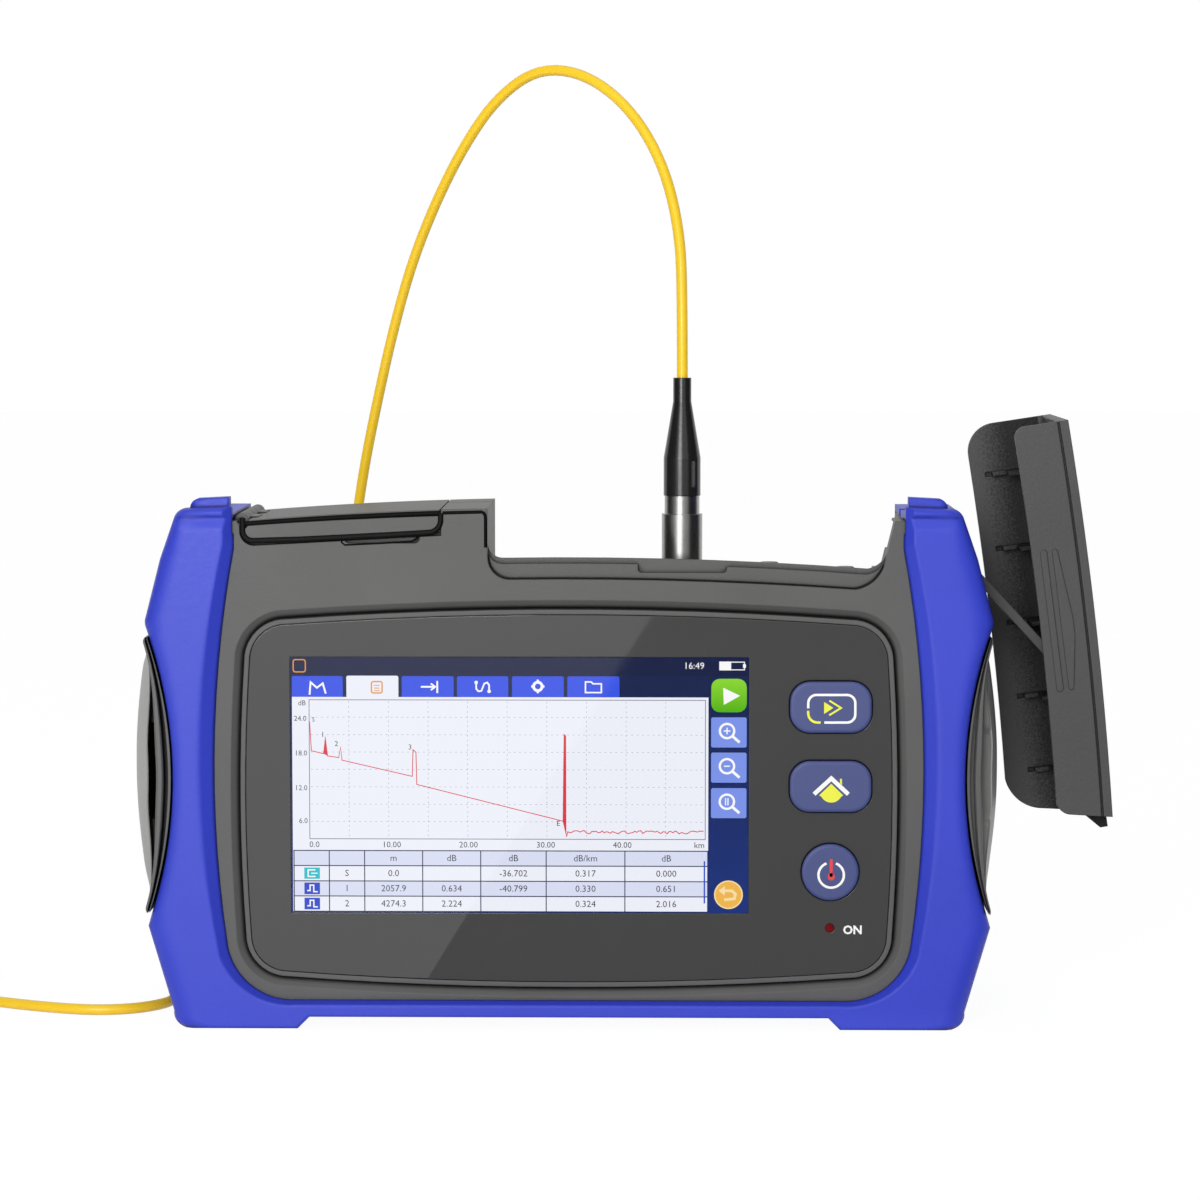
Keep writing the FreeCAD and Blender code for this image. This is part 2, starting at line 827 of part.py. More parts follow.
def side_grip():
    """The left grip: a thin web, a rounded rim standing off it and a crowned, pocketed pad."""
    middle = (grip_high + grip_low) / 2
    front = case_front - 1.5
    back = case_back - 1.5
    w = jacket_half_width

    def band(inner, outer, y0, y1, tip):
        a = flank(inner)
        b = flank(outer)
        top = ((a[0][0] + b[0][0]) / 2, a[0][1] + tip)
        low = ((a[2][0] + b[2][0]) / 2, a[2][1] - tip)
        path = [
            a[0],
            (a[1][0], a[1][1], a[2][0], a[2][1]),
            (low[0], low[1], b[2][0], b[2][1]),
            (b[1][0], b[1][1], b[0][0], b[0][1]),
            (top[0], top[1], a[0][0], a[0][1]),
        ]
        return prism(path, y0, y1)

    rim_in = grip_gap + rim_stand
    web = band(grip_gap, grip_gap + 0.7, front, back, 0.3)
    core = band(grip_gap + 0.4, rim_in + 0.5, front + 2.0, back - 2.0, 0.5)
    rim = band(rim_in, rim_in + rim_band, front, front + 3.5, 0.9)
    rear_rim = band(rim_in, rim_in + rim_band, back - 3.5, back, 0.9)
    inner = flank(rim_in + 0.3)
    outer_x = -w + 3.0 - rim_in - rim_band + 0.2
    lens = prism([inner[0], (inner[1][0], inner[1][1], inner[2][0], inner[2][1]),
                  (outer_x, grip_low + 6.0),
                  (-grip_reach, middle, outer_x, grip_high - 6.0)], front + 2, back - 2)
    reach = [
        V(-90, front + 5, 0),
        V(-w + 3.6, front + 5, 0),
        V(-grip_reach, (front + back) / 2, 0),
        V(-w + 3.6, back - 5, 0),
        V(-90, back - 5, 0),
    ]
    edges = [
        Part.LineSegment(reach[0], reach[1]).toShape(),
        Part.Arc(reach[1], reach[2], reach[3]).toShape(),
        Part.LineSegment(reach[3], reach[4]).toShape(),
        Part.LineSegment(reach[4], reach[0]).toShape(),
    ]
    barrel = Part.Face(Part.Wire(edges)).extrude(V(0, 0, 200))
    pad = lens.common(barrel)
    grip = joined(web, core, rim, rear_rim, pad)
    end_x = -w + 4.2 - rim_in - rim_band
    wide = 7.2 - rim_in - rim_band
    pocket = [
        (end_x, middle + pocket_reach),
        (-w + wide, middle, end_x, middle - pocket_reach),
        (-w + wide - pocket_width, middle, end_x, middle + pocket_reach),
    ]
    slot_x = -w + wide - pocket_width / 2
    slot = box(slot_x - 0.7, slot_x + 0.7, front - 1, back + 1, middle - 12, middle + 12)
    return grip.cut(prism(pocket, front - 1, front + pocket_depth)).cut(slot)


# ---- front overlay, display and keys ----------------------------------------------------------

def lens_front():
    return case_front + rim_depth - ridge_proud + 0.1


def front_lens():
    front = lens_front()
    lens = prism(panel_path(-lens_gap), front, front + lens_thickness)
    window = box(window_left - 0.1, window_right + 0.1, front - 1, front + 3, window_low - 0.1,
                 window_high + 0.1)
    return lens.cut(window).cut(key_holes(front - 1, front + 3, key_gap))


def touch_panel():
    front = lens_front()
    return box(window_left, window_right, front, front + glass_thickness, window_low, window_high)


def display_module():
    front = lens_front() + glass_thickness
    back = case_front + front_wall + display_depth
    cell = box(window_left, window_right, front, front + 1.2, window_low, window_high)
    frame = box(window_left - 1.0, window_right + 1.0, front + 1.2, back, window_low - 1.0,
                window_high + 1.0)
    return joined(cell, frame)


def key_body(z, shape):
    """A key: its cap stands through the overlay and its flange keeps it in."""
    front = lens_front() - key_proud
    back = case_front + front_wall + 0.2
    if shape == "round":
        cap = rod(power_key_diameter / 2, (key_x, front, z), (key_x, back, z))
        flange = rod(power_key_diameter / 2 + 1.2, (key_x, back, z), (key_x, back + key_flange, z))
    else:
        cap = rounded(key_x, z, key_width, key_height, key_corner, front, back)
        flange = rounded(key_x, z, key_width + 2.4, key_height + 2.4, key_corner + 1.2, back,
                         back + key_flange)
    edge = [e for e in cap.Edges if abs(e.BoundBox.YMax - front) < 1e-6]
    cap = cap.makeFillet(0.6, edge)
    stem = rod(1.5, (key_x, back + key_flange, z), (key_x, back + key_flange + 0.6, z))
    return joined(cap, flange, stem)


def keypad_front():
    return case_front + front_wall + 0.2 + key_flange + 0.6 + key_travel + 1.4


def keypad_board():
    """The key circuit board with a dome switch under each key and the lamp."""
    y0 = keypad_front()
    back = y0 - key_travel - 1.4
    board = box(key_x - 13.5, key_x + 13.0, y0, y0 + 1.6, led_z - 4.6, run_key_z + 11.0)
    for z in (run_key_z, home_key_z, power_key_z):
        board = board.fuse(rod(2.6, (key_x, back + key_travel + 0.1, z), (key_x, y0 + 0.1, z)))
    board = board.fuse(box(key_x - 0.8, key_x + 0.8, y0 - 0.8, y0 + 0.1, led_z - 0.8, led_z + 0.8))
    return board.removeSplitter()


def light_pipe():
    front = lens_front()
    return joined(rod(led_diameter / 2, (key_x, front, led_z), (key_x, case_front + front_wall, led_z)),
                  rod(led_diameter / 2 + 0.8, (key_x, case_front + front_wall, led_z),
                      (key_x, case_front + front_wall + 1.2, led_z)))


# ---- inside -----------------------------------------------------------------------------------

def board_places():
    xs = (main_board_left + 10.0, main_board_right - 4.4)
    return [(x, z) for z in (main_board_low + 4.5, main_board_high - 4.0) for x in xs]


def main_board():
    y0 = main_board_y
    board = box(main_board_left, main_board_right, y0, y0 + 1.6, main_board_low, main_board_high)
    for along, up, w, h, t in ((30, 38, 16, 16, 1.8), (60, 44, 22, 14, 2.2), (94, 26, 12, 12, 1.6),
                               (114, 24, 18, 10, 3.0), (34, 70, 26, 8, 2.4)):
        x = main_board_left + along
        z = main_board_low + up
        board = board.fuse(box(x, x + w, y0 + 1.5, y0 + 1.6 + t, z, z + h))
    for x, z in board_places():
        board = board.cut(rod(1.6, (x, y0 - 1, z), (x, y0 + 3, z)))
    return board.removeSplitter()


def board_posts():
    """Posts on the front shell that the main board is screwed to."""
    return [rod(3.0, (x, case_front + front_wall - 0.2, z), (x, main_board_y, z)).cut(
        rod(1.2, (x, main_board_y - 9.0, z), (x, main_board_y + 1.0, z))) for x, z in board_places()]


def keypad_posts():
    """Posts on the front shell that the key board is staked to."""
    places = [(key_x - 9.0, 29.0), (key_x + 9.0, 29.0), (key_x - 9.0, 55.4), (key_x + 9.0, 55.4),
              (key_x, 77.2)]
    return [rod(1.7, (x, case_front + front_wall - 0.2, z), (x, keypad_front(), z)) for x, z in places]


def board_screws():
    return Part.makeCompound([pan_screw(x, z, main_board_y + 3.2, 2.6, 1.15, 8.0, 1.6)
                              for x, z in board_places()])


def optical_module():
    """The shielded laser and receiver block under the test port."""
    top = bay_floor - wall - 6
    block = box(module_left, module_right, module_front, module_back, module_low, top)
    neck = rod(3.0, (otdr_x, port_y, top), (otdr_x, port_y, bay_floor - 5))
    lid = box(module_left + 2, module_right - 2, module_front + 1, module_back - 1, top - 0.2, top + 0.8)
    return joined(block, neck, lid)


def speaker():
    """The small loudspeaker behind its slits in the rear shell."""
    back = case_back - wall
    can = rod(9.0, (speaker_x, back - 5.0, speaker_z), (speaker_x, back, speaker_z))
    magnet = rod(6.0, (speaker_x, back - 9.0, speaker_z), (speaker_x, back - 5.0, speaker_z))
    return joined(can, magnet)


# ---- ports --------------------------------------------------------------------------------------

def pad_top(x):
    return crown(pad_mid, x)


def connector_plate():
    top = bay_floor + plate_thickness
    plate = box(bay_left + 0.2, bay_right - 0.1, bay_front + 0.2, bay_back - 0.2, bay_floor, top)
    plate = plate.fuse(box(otdr_x - 8.5, otdr_x + 8.5, port_y - 8.5, port_y + 8.5, top - 0.5,
                           pad_top(otdr_x)))
    for x in (vfl_x, meter_x):
        plate = plate.fuse(rod(6.8, (x, port_y, top - 0.5), (x, port_y, pad_top(x))))
    for x in (otdr_x, vfl_x, meter_x):
        plate = plate.cut(rod(adapter_radius + 0.1, (x, port_y, bay_floor - 1), (x, port_y, pad_top(x) + 1)))
    for x, y in plate_screw_places():
        plate = plate.cut(rod(1.2, (x, y, bay_floor - 1), (x, y, top + 1)))
        plate = plate.cut(rod(2.2, (x, y, top - 1.0), (x, y, top + 1)))
    return plate.removeSplitter()


def plate_screw_places():
    return [(bay_left + 6, -22.0), (bay_left + 6, 6.0), (bay_right - 5, -22.0), (bay_right - 5, 6.0)]


def plate_screws():
    top = bay_floor + plate_thickness - 0.2
    screws = []
    for x, y in plate_screw_places():
        screw = joined(rod(2.0, (x, y, top - 0.8), (x, y, top)),
                       rod(1.0, (x, y, bay_floor - wall + 0.2), (x, y, top - 0.8)))
        screws.append(screw.cut(box(x - 2, x + 2, y - 0.25, y + 0.25, top - 0.4, top + 1)))
    return Part.makeCompound(screws)


def otdr_adapter():
    """The square-flanged bulkhead adapter with its keyed threaded barrel."""
    z = pad_top(otdr_x)
    half = adapter_flange / 2
    body = box(otdr_x - half, otdr_x + half, port_y - half, port_y + half, z, z + 2.0)
    barrel = rod(adapter_radius, (otdr_x, port_y, bay_floor - 4.8), (otdr_x, port_y, z + 10.0))
    body = body.fuse(barrel)
    body = body.cut(rod(ferrule_bore, (otdr_x, port_y, bay_floor - 5), (otdr_x, port_y, z + 11)))
    body = body.cut(rod(3.1, (otdr_x, port_y, z + 4.0), (otdr_x, port_y, z + 11)))
    for sx in (-1, 1):
        head = rod(1.1, (otdr_x + sx * 4.8, port_y - sx * 4.8, z + 1.2),
                   (otdr_x + sx * 4.8, port_y - sx * 4.8, z + 3))
        body = body.cut(head)
    return body.removeSplitter()


def ferrule_port(x):
    """A ferrule port for the red-light source or the power meter."""
    z = pad_top(x)
    body = joined(rod(5.2, (x, port_y, z), (x, port_y, z + 0.8)),
                  rod(1.9, (x, port_y, z), (x, port_y, z + 2.0)),
                  rod(adapter_radius, (x, port_y, bay_floor - 4.8), (x, port_y, z + 0.4)))
    return body.cut(rod(ferrule_bore, (x, port_y, z - 7.0), (x, port_y, z + 3)))


def port_cap(x):
    """A dust cap pushed over a ferrule port, with a small grip on top."""
    z = pad_top(x) + 0.8
    top = pad_top(x) + cap_height
    cap = joined(rod(4.2, (x, port_y, z + 0.02), (x, port_y, z + 0.9)),
                 rod(cap_radius, (x, port_y, z + 0.02), (x, port_y, top)))
    edge = [e for e in cap.Edges if abs(e.BoundBox.ZMin - top) < 1e-6]
    cap = cap.makeFillet(0.4, edge)
    return cap.cut(rod(1.9 + cap_gap, (x, port_y, z - 1), (x, port_y, pad_top(x) + 2.1)))


# ---- interface door and sockets --------------------------------------------------------------------

def port_door():
    top = case_top
    low = flap_low_mid
    corner = 3.0
    k = corner * (1 - math.sqrt(0.5))
    left = door_left + 0.2
    right = door_right
    z = crown(low, left + corner)
    mid = (left + right) / 2
    flap = [
        (left, crown(top, left) - 0.2),
        (left, z + corner),
        (left + k, z + k, left + corner, z),
        (mid, crown(low, mid), right, crown(low, right)),
        (right, crown(top, right)),
        (mid, crown(top, mid), left, crown(top, left) - 0.2),
    ]
    under = top - door_thickness
    start = door_pin_x + 0.4
    panel = [
        (start, crown(top, start)),
        (start, crown(under, start)),
        (mid, crown(under, mid), right, crown(under, right)),
        (right, crown(top, right)),
        (mid, crown(top, mid), start, crown(top, start)),
    ]
    front = prism(flap, case_front, case_front + door_thickness)
    flat = prism(panel, case_front, upper_back)
    door = front.fuse(flat)
    groove = [
        (door_left - 2, crown(top, door_left) - 1.7),
        (mid, crown(top, mid) - 1.7, right + 2, crown(top, right) - 1.7),
        (right + 2, crown(top, right) - 0.8),
        (mid, crown(top, mid) - 0.8, door_left - 2, crown(top, door_left) - 0.8),
    ]
    door = door.cut(prism(groove, case_front - 1, case_front + 1.1))
    room = rod(knuckle_radius + door_gap, (door_pin_x, case_front - 1, door_pin_z),
               (door_pin_x, upper_back + 1, door_pin_z))
    door = door.cut(room)
    for y0, y1 in knuckle_spans():
        door = door.fuse(rod(knuckle_radius, (door_pin_x, y0, door_pin_z), (door_pin_x, y1, door_pin_z)))
        door = door.fuse(box(door_pin_x, door_pin_x + 4, y0, y1, door_pin_z - 0.9, door_pin_z + 0.9))
    door = door.cut(rod(door_pin_radius + pin_clearance, (door_pin_x, -60, door_pin_z),
                        (door_pin_x, 60, door_pin_z)))
    seal = box(recess_left + 1, recess_right - 1, recess_front + 1, recess_back - 1, 136.8, 139.0)
    frame = seal.cut(box(recess_left + 2.6, recess_right - 2.6, recess_front + 2.6, recess_back - 2.6,
                         130, 145))
    return door.fuse(frame).removeSplitter()


def door_hinge_pin():
    return rod(door_pin_radius, (door_pin_x, case_front + 4.2, door_pin_z),
               (door_pin_x, upper_back - 3.2, door_pin_z))


def usb_a_socket():
    x = -72.0
    y = -8.5
    shell = box(x - 7.2, x + 7.2, y - 3.5, y + 3.5, recess_floor - 13, recess_floor)
    shell = shell.cut(box(x - 6.3, x + 6.3, y - 2.6, y + 2.6, recess_floor - 10, recess_floor + 1))
    tongue = box(x - 5.6, x + 5.6, y - 2.3, y - 0.4, recess_floor - 10.5, recess_floor - 1)
    return shell.fuse(tongue).removeSplitter()


def usb_micro_socket():
    x = -57.5
    y = -8.5
    shell = box(x - 3.9, x + 3.9, y - 1.6, y + 1.6, recess_floor - 6, recess_floor)
    shell = shell.cut(box(x - 3.4, x + 3.4, y - 1.1, y + 1.1, recess_floor - 5, recess_floor + 1))
    tongue = box(x - 2.4, x + 2.4, y + 0.2, y + 0.8, recess_floor - 5.5, recess_floor - 0.8)
    return shell.fuse(tongue).removeSplitter()


def dc_jack():
    x = -45.5
    y = -8.5
    body = rod(4.8, (x, y, recess_floor - 13), (x, y, recess_floor))
    body = body.cut(rod(2.85, (x, y, recess_floor - 10.5), (x, y, recess_floor + 1)))
    return body.fuse(rod(1.0, (x, y, recess_floor - 11), (x, y, recess_floor - 0.8))).removeSplitter()


def socket_holes():
    holes = box(-79.4, -64.6, -12.2, -4.8, recess_floor - 4, recess_floor + 1)
    holes = holes.fuse(box(-61.6, -53.4, -10.3, -6.7, recess_floor - 4, recess_floor + 1))
    return holes.fuse(rod(5.0, (-45.5, -8.5, recess_floor - 4), (-45.5, -8.5, recess_floor + 1)))


def io_board():
    board = box(-82, -39, -14.5, -3.0, recess_floor - 14.6, recess_floor - 13)
    return board.fuse(box(-61.4, -53.6, -10.1, -6.9, recess_floor - 13.1, recess_floor - 6)).removeSplitter()


# ---- bay cover and arm -------------------------------------------------------------------------------

def pivot_closed():
    """Where the cover's pivot lies when the cover is shut over the bay."""
    left = bay_left + cover_left_gap
    right = ear_at(case_top) - cover_right_gap
    a = math.atan2(crown(case_top, right) - crown(case_top, left), right - left)
    x = left + cover_pivot_along * math.cos(a) + cover_pivot_under * math.sin(a)
    z = crown(case_top, left) + cover_pivot_along * math.sin(a) - cover_pivot_under * math.cos(a)
    return x, z


def arm_length():
    x, z = pivot_closed()
    return math.hypot(x - arm_pivot_x, z - arm_pivot_z)


def pivot_open():
    a = math.radians(arm_open_angle)
    return (arm_pivot_x + arm_length() * math.cos(a), arm_pivot_z + arm_length() * math.sin(a))


def cover_profile(low_mid, corner, extra=0.0):
    """One skirt of the shut cover from the front, down to a crowned edge at low_mid."""
    left = bay_left + cover_left_gap
    k = corner * (1 - math.sqrt(0.5))

    def right(z):
        return ear_at(case_top) - cover_right_gap + extra - (case_top - z) * cover_end_lean

    top_l = crown(case_top, left)
    top_r = crown(case_top, right(case_top))
    low_l = crown(low_mid, left + corner)
    low_x = right(crown(low_mid, bay_right))
    low_r = crown(low_mid, low_x - corner)
    mid = (left + low_x) / 2
    return [
        (left, top_l),
        (left, low_l + corner),
        (left + k, low_l + k, left + corner, low_l),
        (mid, crown(low_mid, mid), low_x - corner, low_r),
        (low_x - k, low_r + k, right(low_r + corner), low_r + corner),
        (right(case_top), top_r),
        (mid, crown(case_top, mid), left, top_l),
    ]


def cover_shut():
    """The bay cover in its shut place: top, two skirts, ribs, pivot lugs and latch."""
    y0 = case_front
    y1 = upper_back
    front = prism(cover_profile(case_top - front_skirt, 3.0), y0, y0 + cover_wall)
    back = prism(cover_profile(case_top - back_skirt, 8.0, cover_back_extra), y1 - cover_wall, y1)
    top = prism(cover_profile(case_top - cover_top_wall, 0.5), y0, y1)
    cover = top.fuse(front).fuse(back)
    groove_mid = case_top - cover_edge_step
    wide = (bay_left - 5, bay_right + 12)
    mid = sum(wide) / 2
    groove = [
        (wide[0], crown(groove_mid, wide[0]) - 0.35),
        (mid, crown(groove_mid, mid) - 0.35, wide[1], crown(groove_mid, wide[1]) - 0.35),
        (wide[1], crown(groove_mid, wide[1]) + 0.35),
        (mid, crown(groove_mid, mid) + 0.35, wide[0], crown(groove_mid, wide[0]) + 0.35),
    ]
    cover = cover.cut(prism(groove, y0 - 1, y0 + 0.7))
    for k in range(5):
        x = bay_left + cover_rib_start + cover_rib_pitch * k
        rib = box(x - 0.6, x + 0.6, y1 - cover_wall - 14, y1 - cover_wall + 0.2,
                  case_top - back_skirt + 5.7, case_top - 3)
        rib = rib.cut(box(x - 1, x + 1, y1 - cover_wall - 15, y1 - cover_wall - 3, 0, case_top - 15))
        dimple = box(x - 0.7, x + 0.7, y1 - cover_wall - 1, y1 - cover_wall + dimple_depth,
                     case_top - back_skirt + 3.8, case_top - back_skirt + 5.7)
        cover = cover.fuse(rib).cut(dimple)
    px, pz = pivot_closed()
    inner = arm_width / 2 + arm_side_gap
    for side in (-1, 1):
        lug = rod(3.0, (px, arm_y + side * inner, pz), (px, arm_y + side * (inner + 2.4), pz))
        lug = lug.fuse(box(px - 3.0, px + 3.0, min(arm_y + side * inner, arm_y + side * (inner + 2.4)),
                           max(arm_y + side * inner, arm_y + side * (inner + 2.4)), pz, pz + 5.5))
        cover = cover.fuse(lug)
    cover = cover.cut(rod(arm_pin_radius, (px, arm_y - 8, pz), (px, arm_y + 8, pz)))
    right = ear_at(case_top) - cover_right_gap
    z = crown(case_top, right)
    latch = [
        (right - 3, z - 0.9),
        (right - 3, z - 2.4),
        (right - 1.4, z - 7.5),
        (right + latch_reach, z - 3.0),
        (right + latch_reach, z - 0.9),
    ]
    cover = cover.fuse(prism(latch, latch_y - latch_width / 2, latch_y + latch_width / 2))
    for mark in finger_marks(y0 - mark_proud, y0 + 0.5):
        cover = cover.fuse(mark)
    return cover.removeSplitter()


def finger_marks(y0, y1):
    """The two raised finger marks on the cover's front: a slim bar and a five-sided one."""
    z = case_top - mark_drop
    bar = rounded(mark_middle, z, mark_length, 1.7, 0.84, y0, y1)
    low = z + 2.4
    a = mark_middle - mark_length / 2
    b = mark_middle + mark_length / 2
    wedge = [
        (a + 0.5, low + 1.3),
        (a, low + 0.65),
        (a + 0.5, low),
        (b - 0.5, low),
        (b, low + 0.65),
        (b - 0.5, low + 1.3),
        (mark_middle + 4.5, low + 3.3),
        (mark_middle, low + 3.3),
    ]
    marks = [bar, prism(wedge, y0, y1)]
    for mark in marks:
        mark.rotate(V(mark_middle, 0, z), V(0, 1, 0), mark_tilt)
    return marks


def swing_open(shape):
    """Carry a shape from the shut place to the open place about the two pivots."""
    px, pz = pivot_closed()
    ox, oz = pivot_open()
    moved = shape.copy()
    moved.rotate(V(px, 0, pz), V(0, 1, 0), cover_open_turn)
    moved.translate(V(ox - px, 0, oz - pz))
    return moved


def cover_arm():
    ox, oz = pivot_open()
    half = arm_width / 2
    a = V(arm_pivot_x, arm_y - half, arm_pivot_z)
    bar = Part.makeBox(arm_length(), arm_width, arm_thickness, V(0, 0, -arm_thickness / 2))
    bar.rotate(V(0, 0, 0), V(0, 1, 0), -arm_open_angle)
    bar.translate(a)
    eyes = [rod(arm_eye_radius, (x, arm_y - half, z), (x, arm_y + half, z))
            for x, z in ((arm_pivot_x, arm_pivot_z), (ox, oz))]
    arm = joined(bar, eyes[0], eyes[1])
    for x, z in ((arm_pivot_x, arm_pivot_z), (ox, oz)):
        arm = arm.cut(rod(arm_pin_radius + pin_clearance, (x, arm_y - 9, z), (x, arm_y + 9, z)))
    return arm


def pivot_pin(x, z, reach):
    return rod(arm_pin_radius, (x, arm_y - reach, z), (x, arm_y + reach, z))


# ---- patch cord --------------------------------------------------------------------------------------

def nut_base():
    return pad_top(otdr_x) + 2.4


def boot_base():
    return nut_base() + nut_height


def boot_top():
    return boot_base() + boot_height


def coupling_nut(x, y, z):
    """A knurled coupling nut standing on its mouth at z, with its flutes left to the finish."""
    nut = joined(rod(nut_radius, (x, y, z), (x, y, z + nut_height * 0.72)),
                 rod(nut_radius * 0.86, (x, y, z), (x, y, z + nut_height)))
    nut = nut.cut(rod(adapter_radius + 0.05, (x, y, z - 1), (x, y, z + nut_height * 0.6)))
    return nut.cut(rod(2.55, (x, y, z), (x, y, z + nut_height + 1)))


def plug_body(x, y, z):
    """The connector's inner body and ceramic ferrule."""
    body = joined(rod(2.5, (x, y, z + nut_height * 0.4), (x, y, z + nut_height)),
                  rod(1.24, (x, y, z + 1.6), (x, y, z + nut_height * 0.45)))
    return body


def cord_boot(x, y, z):
    """The strain relief: straight at the connector, then tapering to the cord."""
    points = [
        V(x, y, z),
        V(x + boot_wide, y, z),
        V(x + boot_wide, y, z + boot_height * 0.32),
        V(x + boot_narrow, y, z + boot_height * 0.8),
        V(x + boot_narrow, y, z + boot_height),
        V(x, y, z + boot_height),
    ]
    face = Part.Face(Part.makePolygon(points + points[:1]))
    boot = face.revolve(V(x, y, z), V(0, 0, 1), 360)
    pocket = box(x + boot_slot_x - 0.5, x + boot_slot_x + 0.5, y - boot_wide - 1, y - boot_slot_floor,
                 z + 2.4, z + boot_height * 0.3)
    return boot.cut(pocket)


def cord_points():
    return [
        (30.8, -8.0, boot_top()),
        (30.8, -8.0, 196.0),
        (30.2, -5.4, 216.0),
        (25.6, -0.5, 235.0),
        (16.5, 5.5, 250.5),
        (4.0, 12.0, 260.5),
        (-9.5, 19.0, 262.5),
        (-21.5, 25.5, 254.5),
        (-31.0, 31.0, 241.5),
        (-39.5, 36.0, 225.5),
        (-46.8, 40.5, 208.0),
        (-52.4, 44.0, 189.0),
        (-57.2, 47.0, 169.0),
        (-61.6, 49.5, 148.5),
        (-65.0, 52.0, 126.5),
        (-68.4, 54.0, 103.0),
        (-71.8, 55.5, 79.0),
        (-76.0, 56.5, 55.5),
        (-81.5, 57.0, 33.5),
        (-88.5, 56.5, 16.0),
        (-98.0, 54.0, 5.0),
        (-109.0, 46.5, 1.6),
        (-113.2, 32.0, 1.6),
        (-111.6, 14.0, 1.6),
        (-111.4, -3.0, 1.6),
        (-115.9, -11.5, 1.6),
        (-123.6, -16.8, 1.6),
        (-133.6, -17.8, 1.6),
        (-146.8, -13.4, 1.6),
        (-162.0, -5.6, 1.6),
        (-175.0, 1.8, 1.9),
        (-188.0, 8.6, 2.4),
    ]


def rounded_path(points):
    """Straight runs joined by tangent arcs, as large as each pair of runs allows."""
    edges = []
    radii = []
    at = V(*points[0])
    for k in range(1, len(points) - 1):
        before = V(*points[k - 1])
        here = V(*points[k])
        after = V(*points[k + 1])
        u = (before - here).normalize()
        w = (after - here).normalize()
        turn = math.pi - u.getAngle(w)
        reach = 0.45 * min((before - here).Length, (after - here).Length)
        radius = reach / math.tan(turn / 2)
        radii.append(radius)
        a = here + u * reach
        b = here + w * reach
        bisector = (u + w).normalize()
        middle = here + bisector * (radius / math.cos(turn / 2) - radius)
        edges.append(Part.LineSegment(at, a).toShape())
        edges.append(Part.Arc(a, middle, b).toShape())
        at = b
    edges.append(Part.LineSegment(at, V(*points[-1])).toShape())
    return Part.Wire(edges), radii


def fibre_cord():
    path, radii = rounded_path(cord_points())
    start = V(*cord_points()[0])
    along = V(*cord_points()[1]) - start
    circle = Part.Wire(Part.makeCircle(cord_diameter / 2, start, along))
    tube = path.makePipeShell([circle], True, True)
    section = math.pi * (cord_diameter / 2) ** 2
    print("cord length %.1f, smallest radius %.1f" % (path.Length, min(radii)))
    print("volume over section times length %.4f" % (tube.Volume / (section * path.Length)))
    return tube


def fibre_coil():
    """The outer form of the wound length: a ring lying on the bench."""
    ring = Part.makeTorus(coil_middle / 2, coil_section_radius, V(coil_x, coil_y, coil_section_radius + 0.1),
                          V(0, 0, 1))
    outer = coil_middle / 2 + 1.0
    start = V(coil_x - outer, coil_y - 4.0, coil_section_radius)
    end = V(coil_x - far_plug_offset, coil_y + far_plug_lead, nut_radius + 0.1)
    middle = V(coil_x - (outer + far_plug_offset) / 2 - 0.5, (start.y + end.y) / 2, (start.z + end.z) / 2)
    tail = Part.Wire([Part.Arc(start, middle, end).toShape()])
    circle = Part.Wire(Part.makeCircle(cord_diameter / 2, end, V(0, 1, 0)))
    return ring.fuse(tail.makePipeShell([circle], True, True))


def coil_tie():
    """A hook-and-loop strap round the wound length."""
    r = coil_section_radius
    centre = V(coil_x, coil_y, r + 0.1)
    band = Part.makeTorus(coil_middle / 2, r + 1.0, centre, V(0, 0, 1))
    band = band.cut(Part.makeTorus(coil_middle / 2, r + 0.02, centre, V(0, 0, 1)))
    return band.common(box(coil_x - 5, coil_x + 5, coil_y + 5, coil_y + 40, 0.05, 40))


def lay_down(shape):
    """Lay a piece, built standing with the boot's tip at the origin, beside the coil."""
    laid = shape.copy()
    laid.rotate(V(0, 0, 0), V(1, 0, 0), 90)
    laid.translate(V(coil_x - far_plug_offset, coil_y + far_plug_lead, nut_radius + 0.1))
    return laid


def far_plug_base():
    """The mouth of the far coupling nut, below the boot's tip."""
    return -(boot_height + nut_height)


def far_dust_cap():
    """The cap over the far connector's ferrule, pushed into its coupling nut."""
    z = far_plug_base()
    cap = rod(nut_radius - 0.6, (0, 0, z - 6.0), (0, 0, z - 0.1))
    cap = cap.fuse(rod(adapter_radius - 0.1, (0, 0, z - 0.2), (0, 0, z + 6.5)))
    return cap.cut(rod(1.5, (0, 0, z), (0, 0, z + 8.0)))


# ---- build every node ----------------------------------------------------------------------------------

